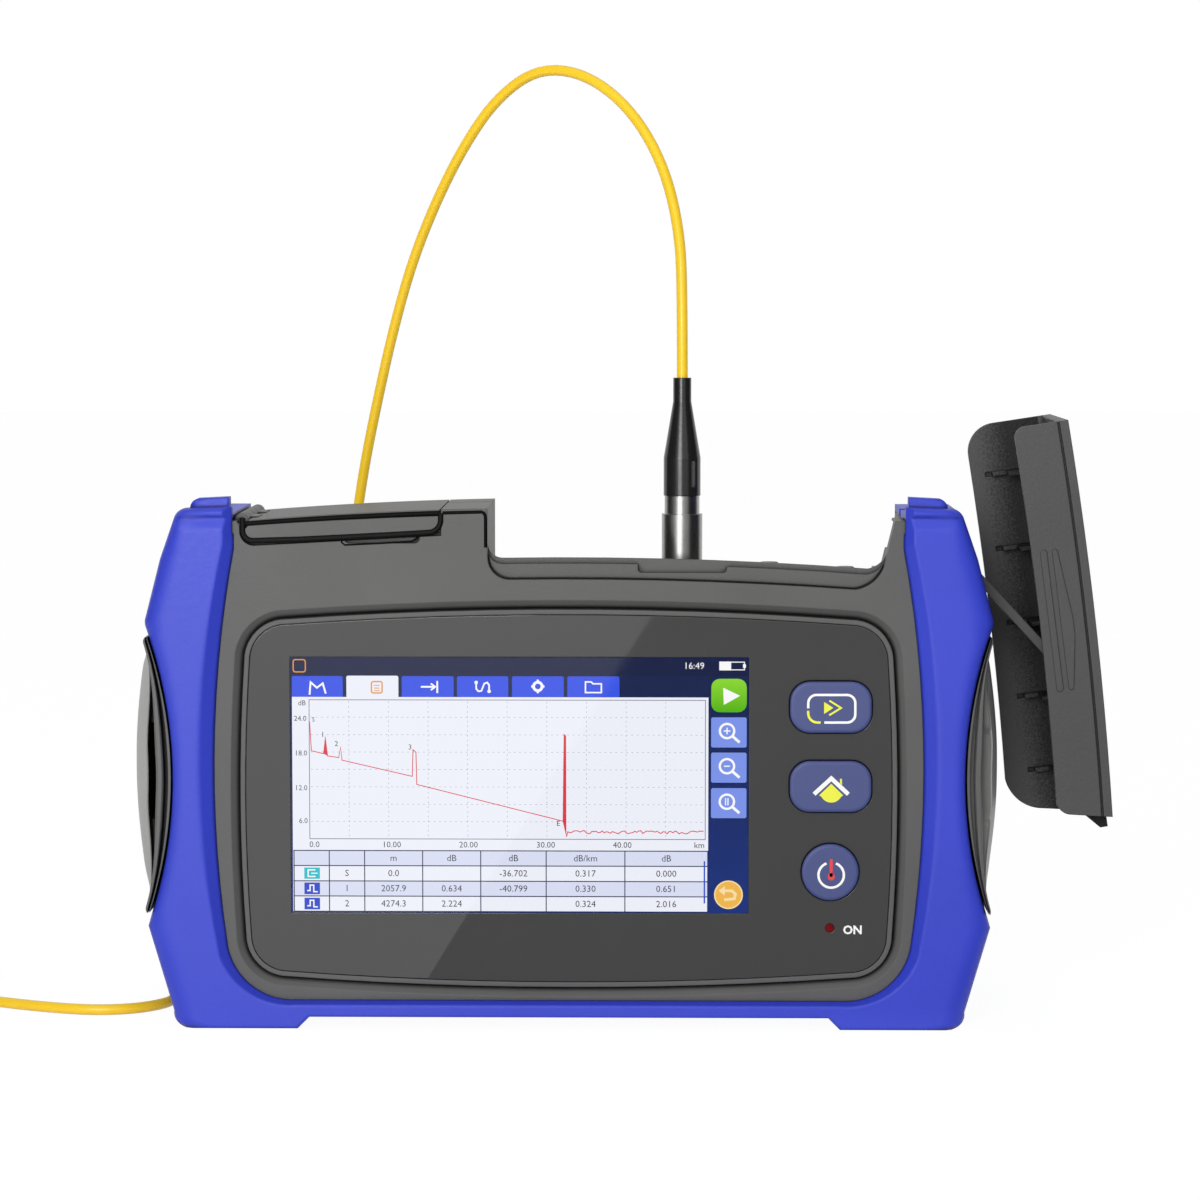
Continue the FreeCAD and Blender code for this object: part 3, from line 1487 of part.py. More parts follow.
def main():
    walls = case_walls().cut(socket_holes())
    front = front_shell(walls)
    for post in board_posts() + keypad_posts():
        front = front.fuse(post)
    save("front_shell", front.removeSplitter())
    save("case_gasket", case_gasket(walls))
    save("rear_shell", rear_shell(walls.fuse(stand_tray_floor())))
    save("bumper", bumper())
    grip = side_grip()
    save("left_side_grip", grip)
    save("right_side_grip", grip.mirror(V(0, 0, 0), V(1, 0, 0)))
    save("front_lens", front_lens())
    save("touch_panel", touch_panel())
    save("display_module", display_module())
    save("run_button", key_body(run_key_z, "wide"))
    save("home_button", key_body(home_key_z, "wide"))
    save("power_button", key_body(power_key_z, "round"))
    save("keypad_board", keypad_board())
    save("light_pipe", light_pipe())
    save("main_board", main_board())
    save("board_screws", board_screws())
    save("optical_module", optical_module())
    save("speaker", speaker())
    save("battery_pack", battery_pack())
    save("battery_door", battery_door())
    save("battery_door_screws", battery_door_screws())
    save("case_screws", case_screws())
    save("tilt_stand", tilt_stand())
    save("stand_pins", stand_pins())
    save("connector_plate", connector_plate())
    save("plate_screws", plate_screws())
    save("otdr_adapter", otdr_adapter())
    save("visual_fault_port", ferrule_port(vfl_x))
    save("power_meter_port", ferrule_port(meter_x))
    save("visual_fault_cap", port_cap(vfl_x))
    save("power_meter_cap", port_cap(meter_x))
    save("port_door", port_door())
    save("door_hinge_pin", door_hinge_pin())
    save("usb_a_socket", usb_a_socket())
    save("usb_micro_socket", usb_micro_socket())
    save("dc_jack", dc_jack())
    save("io_board", io_board())
    save("bay_cover", swing_open(cover_shut()))
    save("cover_arm", cover_arm())
    save("arm_pivot_pin", pivot_pin(arm_pivot_x, arm_pivot_z, 8.8))
    save("cover_pivot_pin", pivot_pin(*pivot_open(), 5.6))
    save("coupling_nut", coupling_nut(otdr_x, port_y, nut_base()))
    save("plug_body", plug_body(otdr_x, port_y, nut_base()))
    save("cord_boot", cord_boot(otdr_x, port_y, boot_base()))
    save("fibre_cord", fibre_cord())
    save("fibre_coil", fibre_coil())
    save("coil_tie", coil_tie())
    save("far_plug_nut", lay_down(coupling_nut(0, 0, far_plug_base())))
    save("far_plug_body", lay_down(plug_body(0, 0, far_plug_base())))
    save("far_plug_boot", lay_down(cord_boot(0, 0, -boot_height)))
    save("far_plug_cap", lay_down(far_dust_cap()))


main()
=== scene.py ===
import math
import random

import bmesh
import bpy
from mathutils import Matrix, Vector


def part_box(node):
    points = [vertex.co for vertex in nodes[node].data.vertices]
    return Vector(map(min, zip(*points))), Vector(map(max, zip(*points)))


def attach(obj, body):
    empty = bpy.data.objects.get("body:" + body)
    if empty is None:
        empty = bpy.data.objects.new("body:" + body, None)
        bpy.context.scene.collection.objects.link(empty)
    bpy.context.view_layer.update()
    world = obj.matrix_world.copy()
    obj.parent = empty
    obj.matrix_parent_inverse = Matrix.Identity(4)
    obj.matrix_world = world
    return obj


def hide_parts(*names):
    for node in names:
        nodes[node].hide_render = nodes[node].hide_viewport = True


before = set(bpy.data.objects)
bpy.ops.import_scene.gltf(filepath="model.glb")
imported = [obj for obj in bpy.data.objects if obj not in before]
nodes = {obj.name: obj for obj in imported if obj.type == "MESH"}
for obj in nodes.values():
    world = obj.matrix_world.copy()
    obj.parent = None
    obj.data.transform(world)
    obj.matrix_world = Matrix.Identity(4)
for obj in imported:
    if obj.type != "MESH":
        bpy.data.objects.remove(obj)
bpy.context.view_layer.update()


# ---- The bench, the lamp and the camera ----
# The instrument stands on a pale bench in a white room, under one large soft lamp ahead of
# it. Only reflections see the black card on the bench, the two black flags at the sides and
# the soft box: the card takes the glare off the keypad side, the rest draw the gloss.

def linear(code):
    """A paint code such as 6c6c6b as linear light, with full alpha."""
    parts = [int(code[i:i + 2], 16) / 255 for i in (0, 2, 4)]
    return tuple(p / 12.92 if p <= 0.04045 else ((p + 0.055) / 1.055) ** 2.4 for p in parts) + (1.0,)


def flat_piece(name, outlines, finish):
    """One mesh of flat faces, each given by its corners, with one finish."""
    mesh = bpy.data.meshes.new(name)
    form = bmesh.new()
    for outline in outlines:
        form.faces.new([form.verts.new(corner) for corner in outline])
    form.to_mesh(mesh)
    form.free()
    piece = bpy.data.objects.new(name, mesh)
    bpy.context.scene.collection.objects.link(piece)
    piece.data.materials.append(finish)
    return piece


def seen_rays(tree):
    """1 for what the camera sees straight, in a reflection or through glass, otherwise 0."""
    path = tree.nodes.new("ShaderNodeLightPath")
    first = tree.nodes.new("ShaderNodeMath")
    first.operation = "MAXIMUM"
    tree.links.new(path.outputs["Is Camera Ray"], first.inputs[0])
    tree.links.new(path.outputs["Is Glossy Ray"], first.inputs[1])
    both = tree.nodes.new("ShaderNodeMath")
    both.operation = "MAXIMUM"
    tree.links.new(first.outputs[0], both.inputs[0])
    tree.links.new(path.outputs["Is Transmission Ray"], both.inputs[1])
    return both.outputs[0]


bench_finish = bpy.data.materials.new("white_bench")
bench_finish.use_nodes = True
tree = bench_finish.node_tree
tree.nodes.clear()
out = tree.nodes.new("ShaderNodeOutputMaterial")
lit = tree.nodes.new("ShaderNodeBsdfDiffuse")
lit.inputs["Color"].default_value = (0.8, 0.8, 0.8, 1)
white = tree.nodes.new("ShaderNodeEmission")
white.inputs["Strength"].default_value = 1.06
share = tree.nodes.new("ShaderNodeMath")
share.operation = "MULTIPLY"
share.inputs[1].default_value = 0.9
blend = tree.nodes.new("ShaderNodeMixShader")
tree.links.new(seen_rays(tree), share.inputs[0])
tree.links.new(share.outputs[0], blend.inputs[0])
tree.links.new(lit.outputs[0], blend.inputs[1])
tree.links.new(white.outputs[0], blend.inputs[2])
tree.links.new(blend.outputs[0], out.inputs["Surface"])
half = 5
bench = flat_piece("bench", [[(-half, -half, 0), (half, -half, 0), (half, half, 0), (-half, half, 0)]],
                   bench_finish)

card_finish = bpy.data.materials.new("black_card")
card_finish.use_nodes = True
card_finish.node_tree.nodes["Principled BSDF"].inputs["Base Color"].default_value = (0.004, 0.004, 0.004, 1)
card_finish.node_tree.nodes["Principled BSDF"].inputs["Roughness"].default_value = 1.0


def black_card(name, corners):
    """A card that only reflections see."""
    card = flat_piece(name, [corners], card_finish)
    card.visible_camera = False
    card.visible_diffuse = False
    card.visible_transmission = False
    card.visible_shadow = False


black_card("bench_card", [(-0.0451, -0.045, 0.0015), (0.0361, -1.6, 0.0015),
                          (1.4, -1.6, 0.0015), (1.4, -0.045, 0.0015)])
flag_front, flag_back, flag_top = -1.15, 0.35, 2.2
for name, x in (("left_flag", -0.95), ("right_flag", 0.95)):
    black_card(name, [(x, flag_front, 0.0), (x, flag_back, 0.0), (x, flag_back, flag_top),
                      (x, flag_front, flag_top)])

world = bpy.data.worlds.new("white_room")
bpy.context.scene.world = world
world.use_nodes = True
tree = world.node_tree
tree.nodes.clear()
out = tree.nodes.new("ShaderNodeOutputWorld")
room = tree.nodes.new("ShaderNodeBackground")
room.inputs["Strength"].default_value = 0.44
seen = tree.nodes.new("ShaderNodeBackground")
seen.inputs["Color"].default_value = (1, 1, 1, 1)
room.inputs["Color"].default_value = (1, 1, 1, 1)
blend = tree.nodes.new("ShaderNodeMixShader")
tree.links.new(seen_rays(tree), blend.inputs[0])
tree.links.new(room.outputs[0], blend.inputs[1])
tree.links.new(seen.outputs[0], blend.inputs[2])
tree.links.new(blend.outputs[0], out.inputs["Surface"])


def soft_lamp(name, place, aim, width, power):
    """A square lamp of the given width in metres and power in watts."""
    lamp = bpy.data.lights.new(name, "AREA")
    lamp.size = width
    lamp.energy = power
    body = bpy.data.objects.new(name, lamp)
    body.location = place
    body.rotation_euler = (Vector(aim) - Vector(place)).to_track_quat("-Z", "Y").to_euler()
    bpy.context.scene.collection.objects.link(body)
    body.visible_camera = False
    return body


case_middle = (0, 0, 0.08)
soft_lamp("front_lamp", (-0.25, -1.45, 0.62), case_middle, 0.7, 16.0).visible_glossy = False
soft_lamp("gloss_box", (-0.3, -1.3, 0.32), case_middle, 0.5, 8.0).visible_diffuse = False

camera = bpy.data.cameras.new("camera")
camera.lens = 111.91
camera.sensor_width = 36.0
camera.clip_end = 20.0
eye = bpy.data.objects.new("camera", camera)
eye.location = (0.0243, -1.036, 0.201)
looked_at = Vector((0.0086, -0.036, 0.1173))
eye.rotation_euler = (looked_at - eye.location).to_track_quat("-Z", "Y").to_euler()
bpy.context.scene.collection.objects.link(eye)
bpy.context.scene.camera = eye
bpy.context.scene.view_settings.view_transform = "Standard"


# ---- The patch cord ----
# A 3 mm simplex fibre cord in a yellow PVC jacket, with a keyed metal coupling nut and a
# tapered black boot at each end. It leaves the port upwards, arches over the case, falls
# behind it and comes round on the bench; the rest is wound, tied and capped.

cord_width = 0.003
coil_at = (-0.190, 0.026)
turn_radii = {"in": 0.0149, "middle": 0.0180, "out": 0.0211}
turn_heights = {"low": 0.0016, "mid": 0.0047, "high": 0.0078}
winding = [("out", "low"), ("middle", "low"), ("in", "low"), ("in", "mid"), ("in", "high"),
           ("middle", "high"), ("middle", "mid"), ("out", "mid"), ("out", "high")]
route = [
    (30.8, -8.0, 176.37), (30.8, -8.0, 196.0), (30.2, -5.4, 216.0), (25.6, -0.5, 235.0),
    (16.5, 5.5, 250.5), (4.0, 12.0, 260.5), (-9.5, 19.0, 262.5), (-21.5, 25.5, 254.5),
    (-31.0, 31.0, 241.5), (-39.5, 36.0, 225.5), (-46.8, 40.5, 208.0), (-52.4, 44.0, 189.0),
    (-57.2, 47.0, 169.0), (-61.6, 49.5, 148.5), (-65.0, 52.0, 126.5), (-68.4, 54.0, 103.0),
    (-71.8, 55.5, 79.0), (-76.0, 56.5, 55.5), (-81.5, 57.0, 33.5), (-88.5, 56.5, 16.0),
    (-98.0, 54.0, 5.0), (-109.0, 46.5, 1.6), (-113.2, 32.0, 1.6), (-111.6, 14.0, 1.6),
    (-111.4, -3.0, 1.6), (-115.9, -11.5, 1.6), (-123.6, -16.8, 1.6), (-133.6, -17.8, 1.6),
    (-146.8, -13.4, 1.6), (-162.0, -5.6, 1.6), (-175.0, 1.8, 1.9),
]


def procedural(name, colour, rough, metal=0.0):
    """A new finish with its shader's plain values set, and its nodes to add to."""
    finish = bpy.data.materials.new(name)
    finish.use_nodes = True
    shader = finish.node_tree.nodes["Principled BSDF"]
    shader.inputs["Base Color"].default_value = linear(colour)
    shader.inputs["Roughness"].default_value = rough
    shader.inputs["Metallic"].default_value = metal
    return finish, finish.node_tree, shader


def mottled(tree, shader, colour, spread, size):
    """The colour drifts a little lighter and darker over patches of the given size."""
    place = tree.nodes.new("ShaderNodeTexCoord")
    cloud = tree.nodes.new("ShaderNodeTexNoise")
    cloud.inputs["Scale"].default_value = 1 / size
    cloud.inputs["Detail"].default_value = 3.0
    ramp = tree.nodes.new("ShaderNodeValToRGB")
    base = linear(colour)
    ramp.color_ramp.elements[0].position = 0.3
    ramp.color_ramp.elements[1].position = 0.7
    ramp.color_ramp.elements[0].color = tuple(c * (1 - spread) for c in base[:3]) + (1,)
    ramp.color_ramp.elements[1].color = tuple(min(1, c * (1 + spread)) for c in base[:3]) + (1,)
    tree.links.new(place.outputs["Object"], cloud.inputs["Vector"])
    tree.links.new(cloud.outputs["Fac"], ramp.inputs["Fac"])
    tree.links.new(ramp.outputs["Color"], shader.inputs["Base Color"])
    return cloud


def grained(tree, shader, size, depth, edge=0.0, rough=None):
    """A moulded grain as bump, edges softened over edge metres, and an uneven gloss."""
    place = tree.nodes.new("ShaderNodeTexCoord")
    grain = tree.nodes.new("ShaderNodeTexNoise")
    grain.inputs["Scale"].default_value = 1 / size
    grain.inputs["Detail"].default_value = 2.0
    bump = tree.nodes.new("ShaderNodeBump")
    bump.inputs["Distance"].default_value = depth
    bump.inputs["Strength"].default_value = 1.0
    tree.links.new(place.outputs["Object"], grain.inputs["Vector"])
    tree.links.new(grain.outputs["Fac"], bump.inputs["Height"])
    if edge:
        soft = tree.nodes.new("ShaderNodeBevel")
        soft.samples = 6
        soft.inputs["Radius"].default_value = edge
        tree.links.new(soft.outputs["Normal"], bump.inputs["Normal"])
    tree.links.new(bump.outputs["Normal"], shader.inputs["Normal"])
    if rough:
        gloss = tree.nodes.new("ShaderNodeMapRange")
        gloss.inputs["To Min"].default_value = rough[0]
        gloss.inputs["To Max"].default_value = rough[1]
        tree.links.new(grain.outputs["Fac"], gloss.inputs["Value"])
        tree.links.new(gloss.outputs["Result"], shader.inputs["Roughness"])
    return bump


def painted_crease_shade(tree, shader, colour, reach, dark=0.05, low=0.45, high=0.8):
    """Painted shade: grooves, gaps and hollows narrower than reach metres go dark in the base colour, by
    their occlusion.
    """
    hollow = tree.nodes.new("ShaderNodeAmbientOcclusion")
    hollow.samples = 6
    hollow.inputs["Distance"].default_value = reach
    depth = tree.nodes.new("ShaderNodeMapRange")
    depth.inputs["From Min"].default_value = low
    depth.inputs["From Max"].default_value = high
    mix = tree.nodes.new("ShaderNodeMix")
    mix.data_type = "RGBA"
    mix.inputs[6].default_value = tuple(c * dark for c in linear(colour)[:3]) + (1,)
    tree.links.new(hollow.outputs["AO"], depth.inputs["Value"])
    tree.links.new(depth.outputs["Result"], mix.inputs[0])
    tree.links.new(shader.inputs["Base Color"].links[0].from_socket, mix.inputs[7])
    tree.links.new(mix.outputs[2], shader.inputs["Base Color"])


def moulded(name, colour, rough, size=0.0006, depth=0.00003, edge=0.0006, spread=0.05, crease_shade=0.0):
    """Moulded plastic or rubber with its grain, softened edges and slight unevenness, with painted shade in
    its creases where a reach is given.
    """
    finish, tree, shader = procedural(name, colour, rough)
    mottled(tree, shader, colour, spread, 0.03)
    grained(tree, shader, size, depth, edge, (rough - 0.06, rough + 0.06))
    if crease_shade:
        painted_crease_shade(tree, shader, colour, crease_shade)
    return finish


def dress(finish, *names):
    """Give CAD nodes their finish."""
    for name in names:
        for slot in nodes[name].material_slots:
            slot.material = finish


yellow_pvc = moulded("yellow_pvc", "f8cc22", 0.33, size=0.004, depth=0.000002, edge=0.0, spread=0.03)

line = bpy.data.curves.new("fibre_patch_cord", "CURVE")
line.dimensions = "3D"
line.bevel_depth = cord_width / 2
line.bevel_resolution = 5
line.resolution_u = 6
points = [(x / 1000, y / 1000, z / 1000) for x, y, z in route]
steps = 16
steps_of_last_turn = 4
change_steps = 5
for k, (ring, height) in enumerate(winding):
    following = winding[min(k + 1, len(winding) - 1)]
    last = k == len(winding) - 1
    for step in range(steps_of_last_turn if last else steps):
        angle = -math.pi / 2 - 2 * math.pi * step / steps
        part = max(0.0, (step - steps + change_steps) / change_steps)
        radius = turn_radii[ring] + part * (turn_radii[following[0]] - turn_radii[ring])
        rise = turn_heights[height] + part * (turn_heights[following[1]] - turn_heights[height])
        points.append((coil_at[0] + radius * math.cos(angle), coil_at[1] + radius * math.sin(angle), rise))
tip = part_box("far_plug_boot")
tip_at = ((tip[0].x + tip[1].x) / 2, tip[0].y, 0.0057)
points.append((tip_at[0] + 0.0012, tip_at[1] - 0.009, 0.0066))
points.append((tip_at[0], tip_at[1] - 0.004, 0.0058))
points.append(tip_at)
strand = line.splines.new("NURBS")
strand.points.add(len(points) - 1)
for point, place in zip(strand.points, points):
    point.co = (*place, 1.0)
strand.order_u = 3
strand.use_endpoint_u = True
patch_cord = bpy.data.objects.new("fibre_patch_cord", line)
bpy.context.scene.collection.objects.link(patch_cord)
patch_cord.data.materials.append(yellow_pvc)
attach(patch_cord, "case")
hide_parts("fibre_cord", "fibre_coil")

# The boot's slits and creases carry painted shade.
boot_rubber = moulded("black_boot_rubber", "1d1d1e", 0.2, size=0.002, depth=0.000002, edge=0.0004,
                      crease_shade=0.002)
dress(boot_rubber, "cord_boot", "far_plug_boot")
nickel, tree, shader = procedural("satin_nickel", "9a9a98", 0.3, 1.0)
mottled(tree, shader, "9a9a98", 0.08, 0.004)
grained(tree, shader, 0.0004, 0.000006, 0.0002, (0.24, 0.36))
dress(nickel, "coupling_nut", "far_plug_nut", "plug_body", "far_plug_body")
cap_plastic = moulded("cap_plastic", "2a2a2c", 0.42, size=0.0012, depth=0.00001, edge=0.0003)
dress(cap_plastic, "far_plug_cap")

weave, tree, shader = procedural("hook_and_loop", "161618", 0.85)
place = tree.nodes.new("ShaderNodeTexCoord")
rows = tree.nodes.new("ShaderNodeTexWave")
rows.inputs["Scale"].default_value = 900.0
rows.inputs["Distortion"].default_value = 3.0
rows.inputs["Detail"].default_value = 2.0
tree.links.new(place.outputs["Object"], rows.inputs["Vector"])
bump = tree.nodes.new("ShaderNodeBump")
bump.inputs["Distance"].default_value = 0.0002
tree.links.new(rows.outputs["Fac"], bump.inputs["Height"])
tree.links.new(bump.outputs["Normal"], shader.inputs["Normal"])
dress(weave, "coil_tie")


# ---- The case ----
# Two halves moulded in dark grey ABS with a fine spark-eroded grain, screwed together on a
# black rubber gasket. The front half carries the recess for the overlay and the port bay.

# The case's grooves and gaps carry painted shade.
grey_abs = moulded("grey_abs", "585857", 0.5, size=0.0007, depth=0.00004, edge=0.0005, crease_shade=0.002)
grey_abs.node_tree.nodes["Principled BSDF"].inputs["Specular IOR Level"].default_value = 0.35
dress(grey_abs, "front_shell", "rear_shell")
gasket_rubber = moulded("gasket_rubber", "141414", 0.6, size=0.001, depth=0.00001)
dress(gasket_rubber, "case_gasket")


# ---- The jacket ----
# A thick blue TPE jacket over both ends of the case, down round its foot. Its faces have a
# satin skin, and its outer edges roll over more softly than the inner ones.

# The jacket's creases, the one under its lip among them, carry painted shade.
blue_tpe = moulded("blue_tpe", "2c3cc2", 0.46, size=0.0011, depth=0.00003, edge=0.0012, spread=0.03,
                   crease_shade=0.0015)
tree = blue_tpe.node_tree
soft_edge = next(node for node in tree.nodes if node.type == "BEVEL")
place = tree.nodes.new("ShaderNodeTexCoord")
split = tree.nodes.new("ShaderNodeSeparateXYZ")
outward = tree.nodes.new("ShaderNodeMath")
outward.operation = "ABSOLUTE"
roll = tree.nodes.new("ShaderNodeMapRange")
roll.inputs["From Min"].default_value = 0.097
roll.inputs["From Max"].default_value = 0.106
roll.inputs["To Min"].default_value = 0.0012
roll.inputs["To Max"].default_value = 0.0045
tree.links.new(place.outputs["Object"], split.inputs[0])
tree.links.new(split.outputs["X"], outward.inputs[0])
tree.links.new(outward.outputs[0], roll.inputs["Value"])
tree.links.new(roll.outputs["Result"], soft_edge.inputs["Radius"])
dress(blue_tpe, "bumper")


# ---- The side grips ----
# Rubber grips set in the hollow flanks of the jacket. Each has a thin web, a dark rim that
# stands off it, a hollow for a hand strap and a crowned pad, moulded in one. The pad is painted
# paler as painted light. The left hollow is deep with black painted shade; the right is shallow with grey.

# The rim carries painted shade in its creases; the pad's paler grey is painted light; the hollows' black and
# grey are painted shade.
rim_rubber = moulded("grip_rim_rubber", "565755", 0.42, size=0.0009, depth=0.00002, edge=0.0004, crease_shade=0.002)
pad_painted_light = moulded("grip_pad_painted_light", "a0a19f", 0.45, size=0.0009, depth=0.00002, edge=0.0005)
hollow_painted_shade = moulded("grip_hollow_painted_shade", "131313", 0.6, size=0.0009, depth=0.00002)
shallow_hollow_painted_shade = moulded("grip_shallow_hollow_painted_shade", "6a6a69", 0.5, size=0.0009, depth=0.00002)
grip_middle, grip_half = 69.2, 36.8


def eased(share):
    """A share from 0 to 1 that starts and ends gently."""
    share = min(1.0, max(0.0, share))
    return share * share * (3 - 2 * share)


def flank_at(z):
    """How far out the hollow flank lies at height z, in mm."""
    return 107.5 + 5.9 * ((z - grip_middle) / grip_half) ** 2


def grip_section(z, crown, end_share, pocket):
    """The grip's outline at height z, from its web round its front to its back, in mm.

    crown is how far out the pad stands, end_share how thick the grip's ends are beside its
    middle, and pocket how deep the hollow goes, from 0 to 1.
    """
    along = abs(z - grip_middle) / grip_half
    base = flank_at(z) + 0.3
    tip = math.sqrt(max(0.0, 1 - max(0.0, (along - 0.975) / 0.052) ** 2))
    share = (1 - (1 - end_share) * eased((along - 0.15) / 0.85)) * max(0.12, tip)
    web, gap, rim = base + 0.75 * share, base + 2.0 * share, base + 4.0 * share
    open_share = math.sqrt(max(0.0, 1 - (along / 0.86) ** 2)) if along < 0.86 else 0.0
    pad_share = math.sqrt(max(0.0, 1 - (max(0.0, along - 0.72) / 0.24) ** 2)) if along < 0.96 else 0.0
    pad = rim + 2.7 * open_share * share
    top = max(pad + 0.05, pad + (crown - 3.9 * along * along - pad) * pad_share)
    floor = -30.9 + pocket * (8.0 * open_share + 14.0 * eased((0.36 - along) / 0.05))
    front = [(base, -34.2), (web, -34.2), (web + 0.1 * share, -30.6), (gap, -30.6), (gap, -34.1),
             (gap + 0.4 * share, -34.6), (rim - 0.4 * share, -34.6), (rim, -34.1), (rim + 0.02, floor),
             (pad, floor), (pad, -29.3), (pad + 0.4 * share, -29.7)]
    arc = []
    for k in range(1, 14):
        y = -29.7 + 56.2 * k / 14
        across = (y + 1.6) / 28.1
        arc.append((pad + 0.4 * share + (top - pad - 0.4 * share) * (1 - across * across), y))
    back = [(pad, 26.5), (rim, 26.5), (rim, 31.1), (rim - 0.4 * share, 31.6), (gap + 0.4 * share, 31.6),
            (gap, 31.1), (gap, 27.8), (web, 27.8), (web, 31.4), (base, 31.4)]
    return front + arc + back


def side_grip(name, side, crown, end_share, pocket, inside):
    """The grip lofted through its outlines, from the low tip to the high one."""
    lowest_level, tallness, count_of_levels = 31.7, 75.1, 96
    levels = [lowest_level + tallness * k / count_of_levels for k in range(count_of_levels + 1)]
    # The hollow faces take painted shade and the pad faces painted light.
    hollow_faces, pad_faces = (1, 2, 3, 7, 8, 9), range(10, 25)
    form = bmesh.new()
    rings = []
    for z in levels:
        ring = grip_section(z, crown, end_share, pocket)
        rings.append([form.verts.new((side * out / 1000, y / 1000, z / 1000)) for out, y in ring])
    count = len(rings[0])
    for low, high in zip(rings, rings[1:]):
        for k in range(count):
            n = (k + 1) % count
            face = form.faces.new([low[k], low[n], high[n], high[k]])
            face.smooth = True
            face.material_index = 2 if k in hollow_faces else 1 if k in pad_faces else 0
    form.faces.new(rings[0])
    form.faces.new(rings[-1])
    bmesh.ops.recalc_face_normals(form, faces=form.faces)
    mesh = bpy.data.meshes.new(name + "_rubber")
    form.to_mesh(mesh)
    form.free()
    grip = bpy.data.objects.new(name + "_rubber", mesh)
    bpy.context.scene.collection.objects.link(grip)
    for finish in (rim_rubber, pad_painted_light, inside):
        mesh.materials.append(finish)
    mesh.set_sharp_from_angle(angle=math.radians(35))
    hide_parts(name)
    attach(grip, "case")


# Black painted shade in the deep left hollow, grey painted shade in the shallow right one.
side_grip("left_side_grip", -1, 121.0, 0.38, 1.0, hollow_painted_shade)
side_grip("right_side_grip", 1, 118.3, 0.24, 0.08, shallow_hollow_painted_shade)


# ---- The overlay, the glass and the display ----
# A dark glossy overlay with a window of clear glass over a 5.6 inch colour display. The
# display shows a measured trace, its table of events and the tool buttons.

overlay, tree, shader = procedural("dark_overlay", "454545", 0.02)
mottled(tree, shader, "454545", 0.02, 0.05)
grained(tree, shader, 0.004, 0.0000004, 0.0003, (0.012, 0.032))
# Painted shade in the overlay's grooves and gaps.
painted_crease_shade(tree, shader, "454545", 0.0014, 0.1)
dress(overlay, "front_lens")

glass, tree, shader = procedural("clear_glass", "ffffff", 0.03)
shader.inputs["Transmission Weight"].default_value = 1.0
shader.inputs["IOR"].default_value = 1.45
grained(tree, shader, 0.02, 0.0000004, 0.0, (0.02, 0.05))
dress(glass, "touch_panel")
nodes["touch_panel"].visible_shadow = False
black_frame = moulded("display_frame", "0c0d12", 0.5, size=0.001, depth=0.000005)
dress(black_frame, "display_module")

window_low, window_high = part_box("touch_panel")
screen_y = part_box("display_module")[0].y


def shown(name, colour, second=None, strength=1.0):
    """A lit colour of the display, shaded to a second one downwards, with its fine dot rows."""
    finish, tree, shader = procedural(name, "000000", 0.6)
    shader.inputs["Specular IOR Level"].default_value = 0.0
    shader.inputs["Emission Strength"].default_value = strength
    place = tree.nodes.new("ShaderNodeTexCoord")
    dots = tree.nodes.new("ShaderNodeTexChecker")
    dots.inputs["Scale"].default_value = 6400.0
    dots.inputs["Color1"].default_value = linear(colour)
    dots.inputs["Color2"].default_value = tuple(c * 0.94 for c in linear(colour)[:3]) + (1,)
    tree.links.new(place.outputs["Object"], dots.inputs["Vector"])
    if second:
        split = tree.nodes.new("ShaderNodeSeparateXYZ")
        tree.links.new(place.outputs["Object"], split.inputs[0])
        fade = tree.nodes.new("ShaderNodeMapRange")
        fade.inputs["From Min"].default_value = second[1] / 1000
        fade.inputs["From Max"].default_value = second[2] / 1000
        tree.links.new(split.outputs["Z"], fade.inputs["Value"])
        mix = tree.nodes.new("ShaderNodeMix")
        mix.data_type = "RGBA"
        mix.inputs[7].default_value = linear(second[0])
        tree.links.new(fade.outputs["Result"], mix.inputs[0])
        tree.links.new(dots.outputs["Color"], mix.inputs[6])
        tree.links.new(mix.outputs[2], shader.inputs["Emission Color"])
    else:
        tree.links.new(dots.outputs["Color"], shader.inputs["Emission Color"])
    return finish


def on_screen(across, down, layer):
    """A place on the display, in mm from its top left corner, in front by thin layers."""
    return (window_low.x + across / 1000, screen_y - 0.00002 * layer, window_high.z - down / 1000)


def block(left, top, right, low, corner=0.0):
    """A rectangle's corners in mm, with rounded corners where asked."""
    if not corner:
        return [(left, top), (right, top), (right, low), (left, low)]
    rim = []
    for cx, cy, start in ((right - corner, top + corner, -90), (right - corner, low - corner, 0),
                          (left + corner, low - corner, 90), (left + corner, top + corner, 180)):
        for k in range(5):
            angle = math.radians(start + 22.5 * k)
            rim.append((cx + corner * math.cos(angle), cy + corner * math.sin(angle)))
    return rim


def disc(cx, cy, radius, start=0, turn=360, count=20):
    """A circle's corners in mm, or an arc's from start degrees through turn degrees."""
    return [(cx + radius * math.cos(math.radians(start + turn * k / count)),
             cy + radius * math.sin(math.radians(start + turn * k / count)))
            for k in range(count + (turn < 360))]


def stroke(path, width, closed=False):
    """Quads that follow a path with a line's width, mitred at its corners."""
    count = len(path)
    sides = []
    for k, (x, y) in enumerate(path):
        back = path[k - 1] if closed or k else None
        ahead = path[(k + 1) % count] if closed or k < count - 1 else None
        u = Vector((x - back[0], y - back[1])).normalized() if back else None
        w = Vector((ahead[0] - x, ahead[1] - y)).normalized() if ahead else None
        u = u or w
        w = w or u
        along = (u + w).normalized() if (u + w).length > 1e-6 else u
        across = Vector((-along.y, along.x))
        reach = width / 2 / max(0.35, across.dot(Vector((-u.y, u.x))))
        sides.append(((x + across.x * reach, y + across.y * reach),
                      (x - across.x * reach, y - across.y * reach)))
    pairs = list(zip(sides, sides[1:])) + ([(sides[-1], sides[0])] if closed else [])
    return [[a[0], b[0], b[1], a[1]] for a, b in pairs]


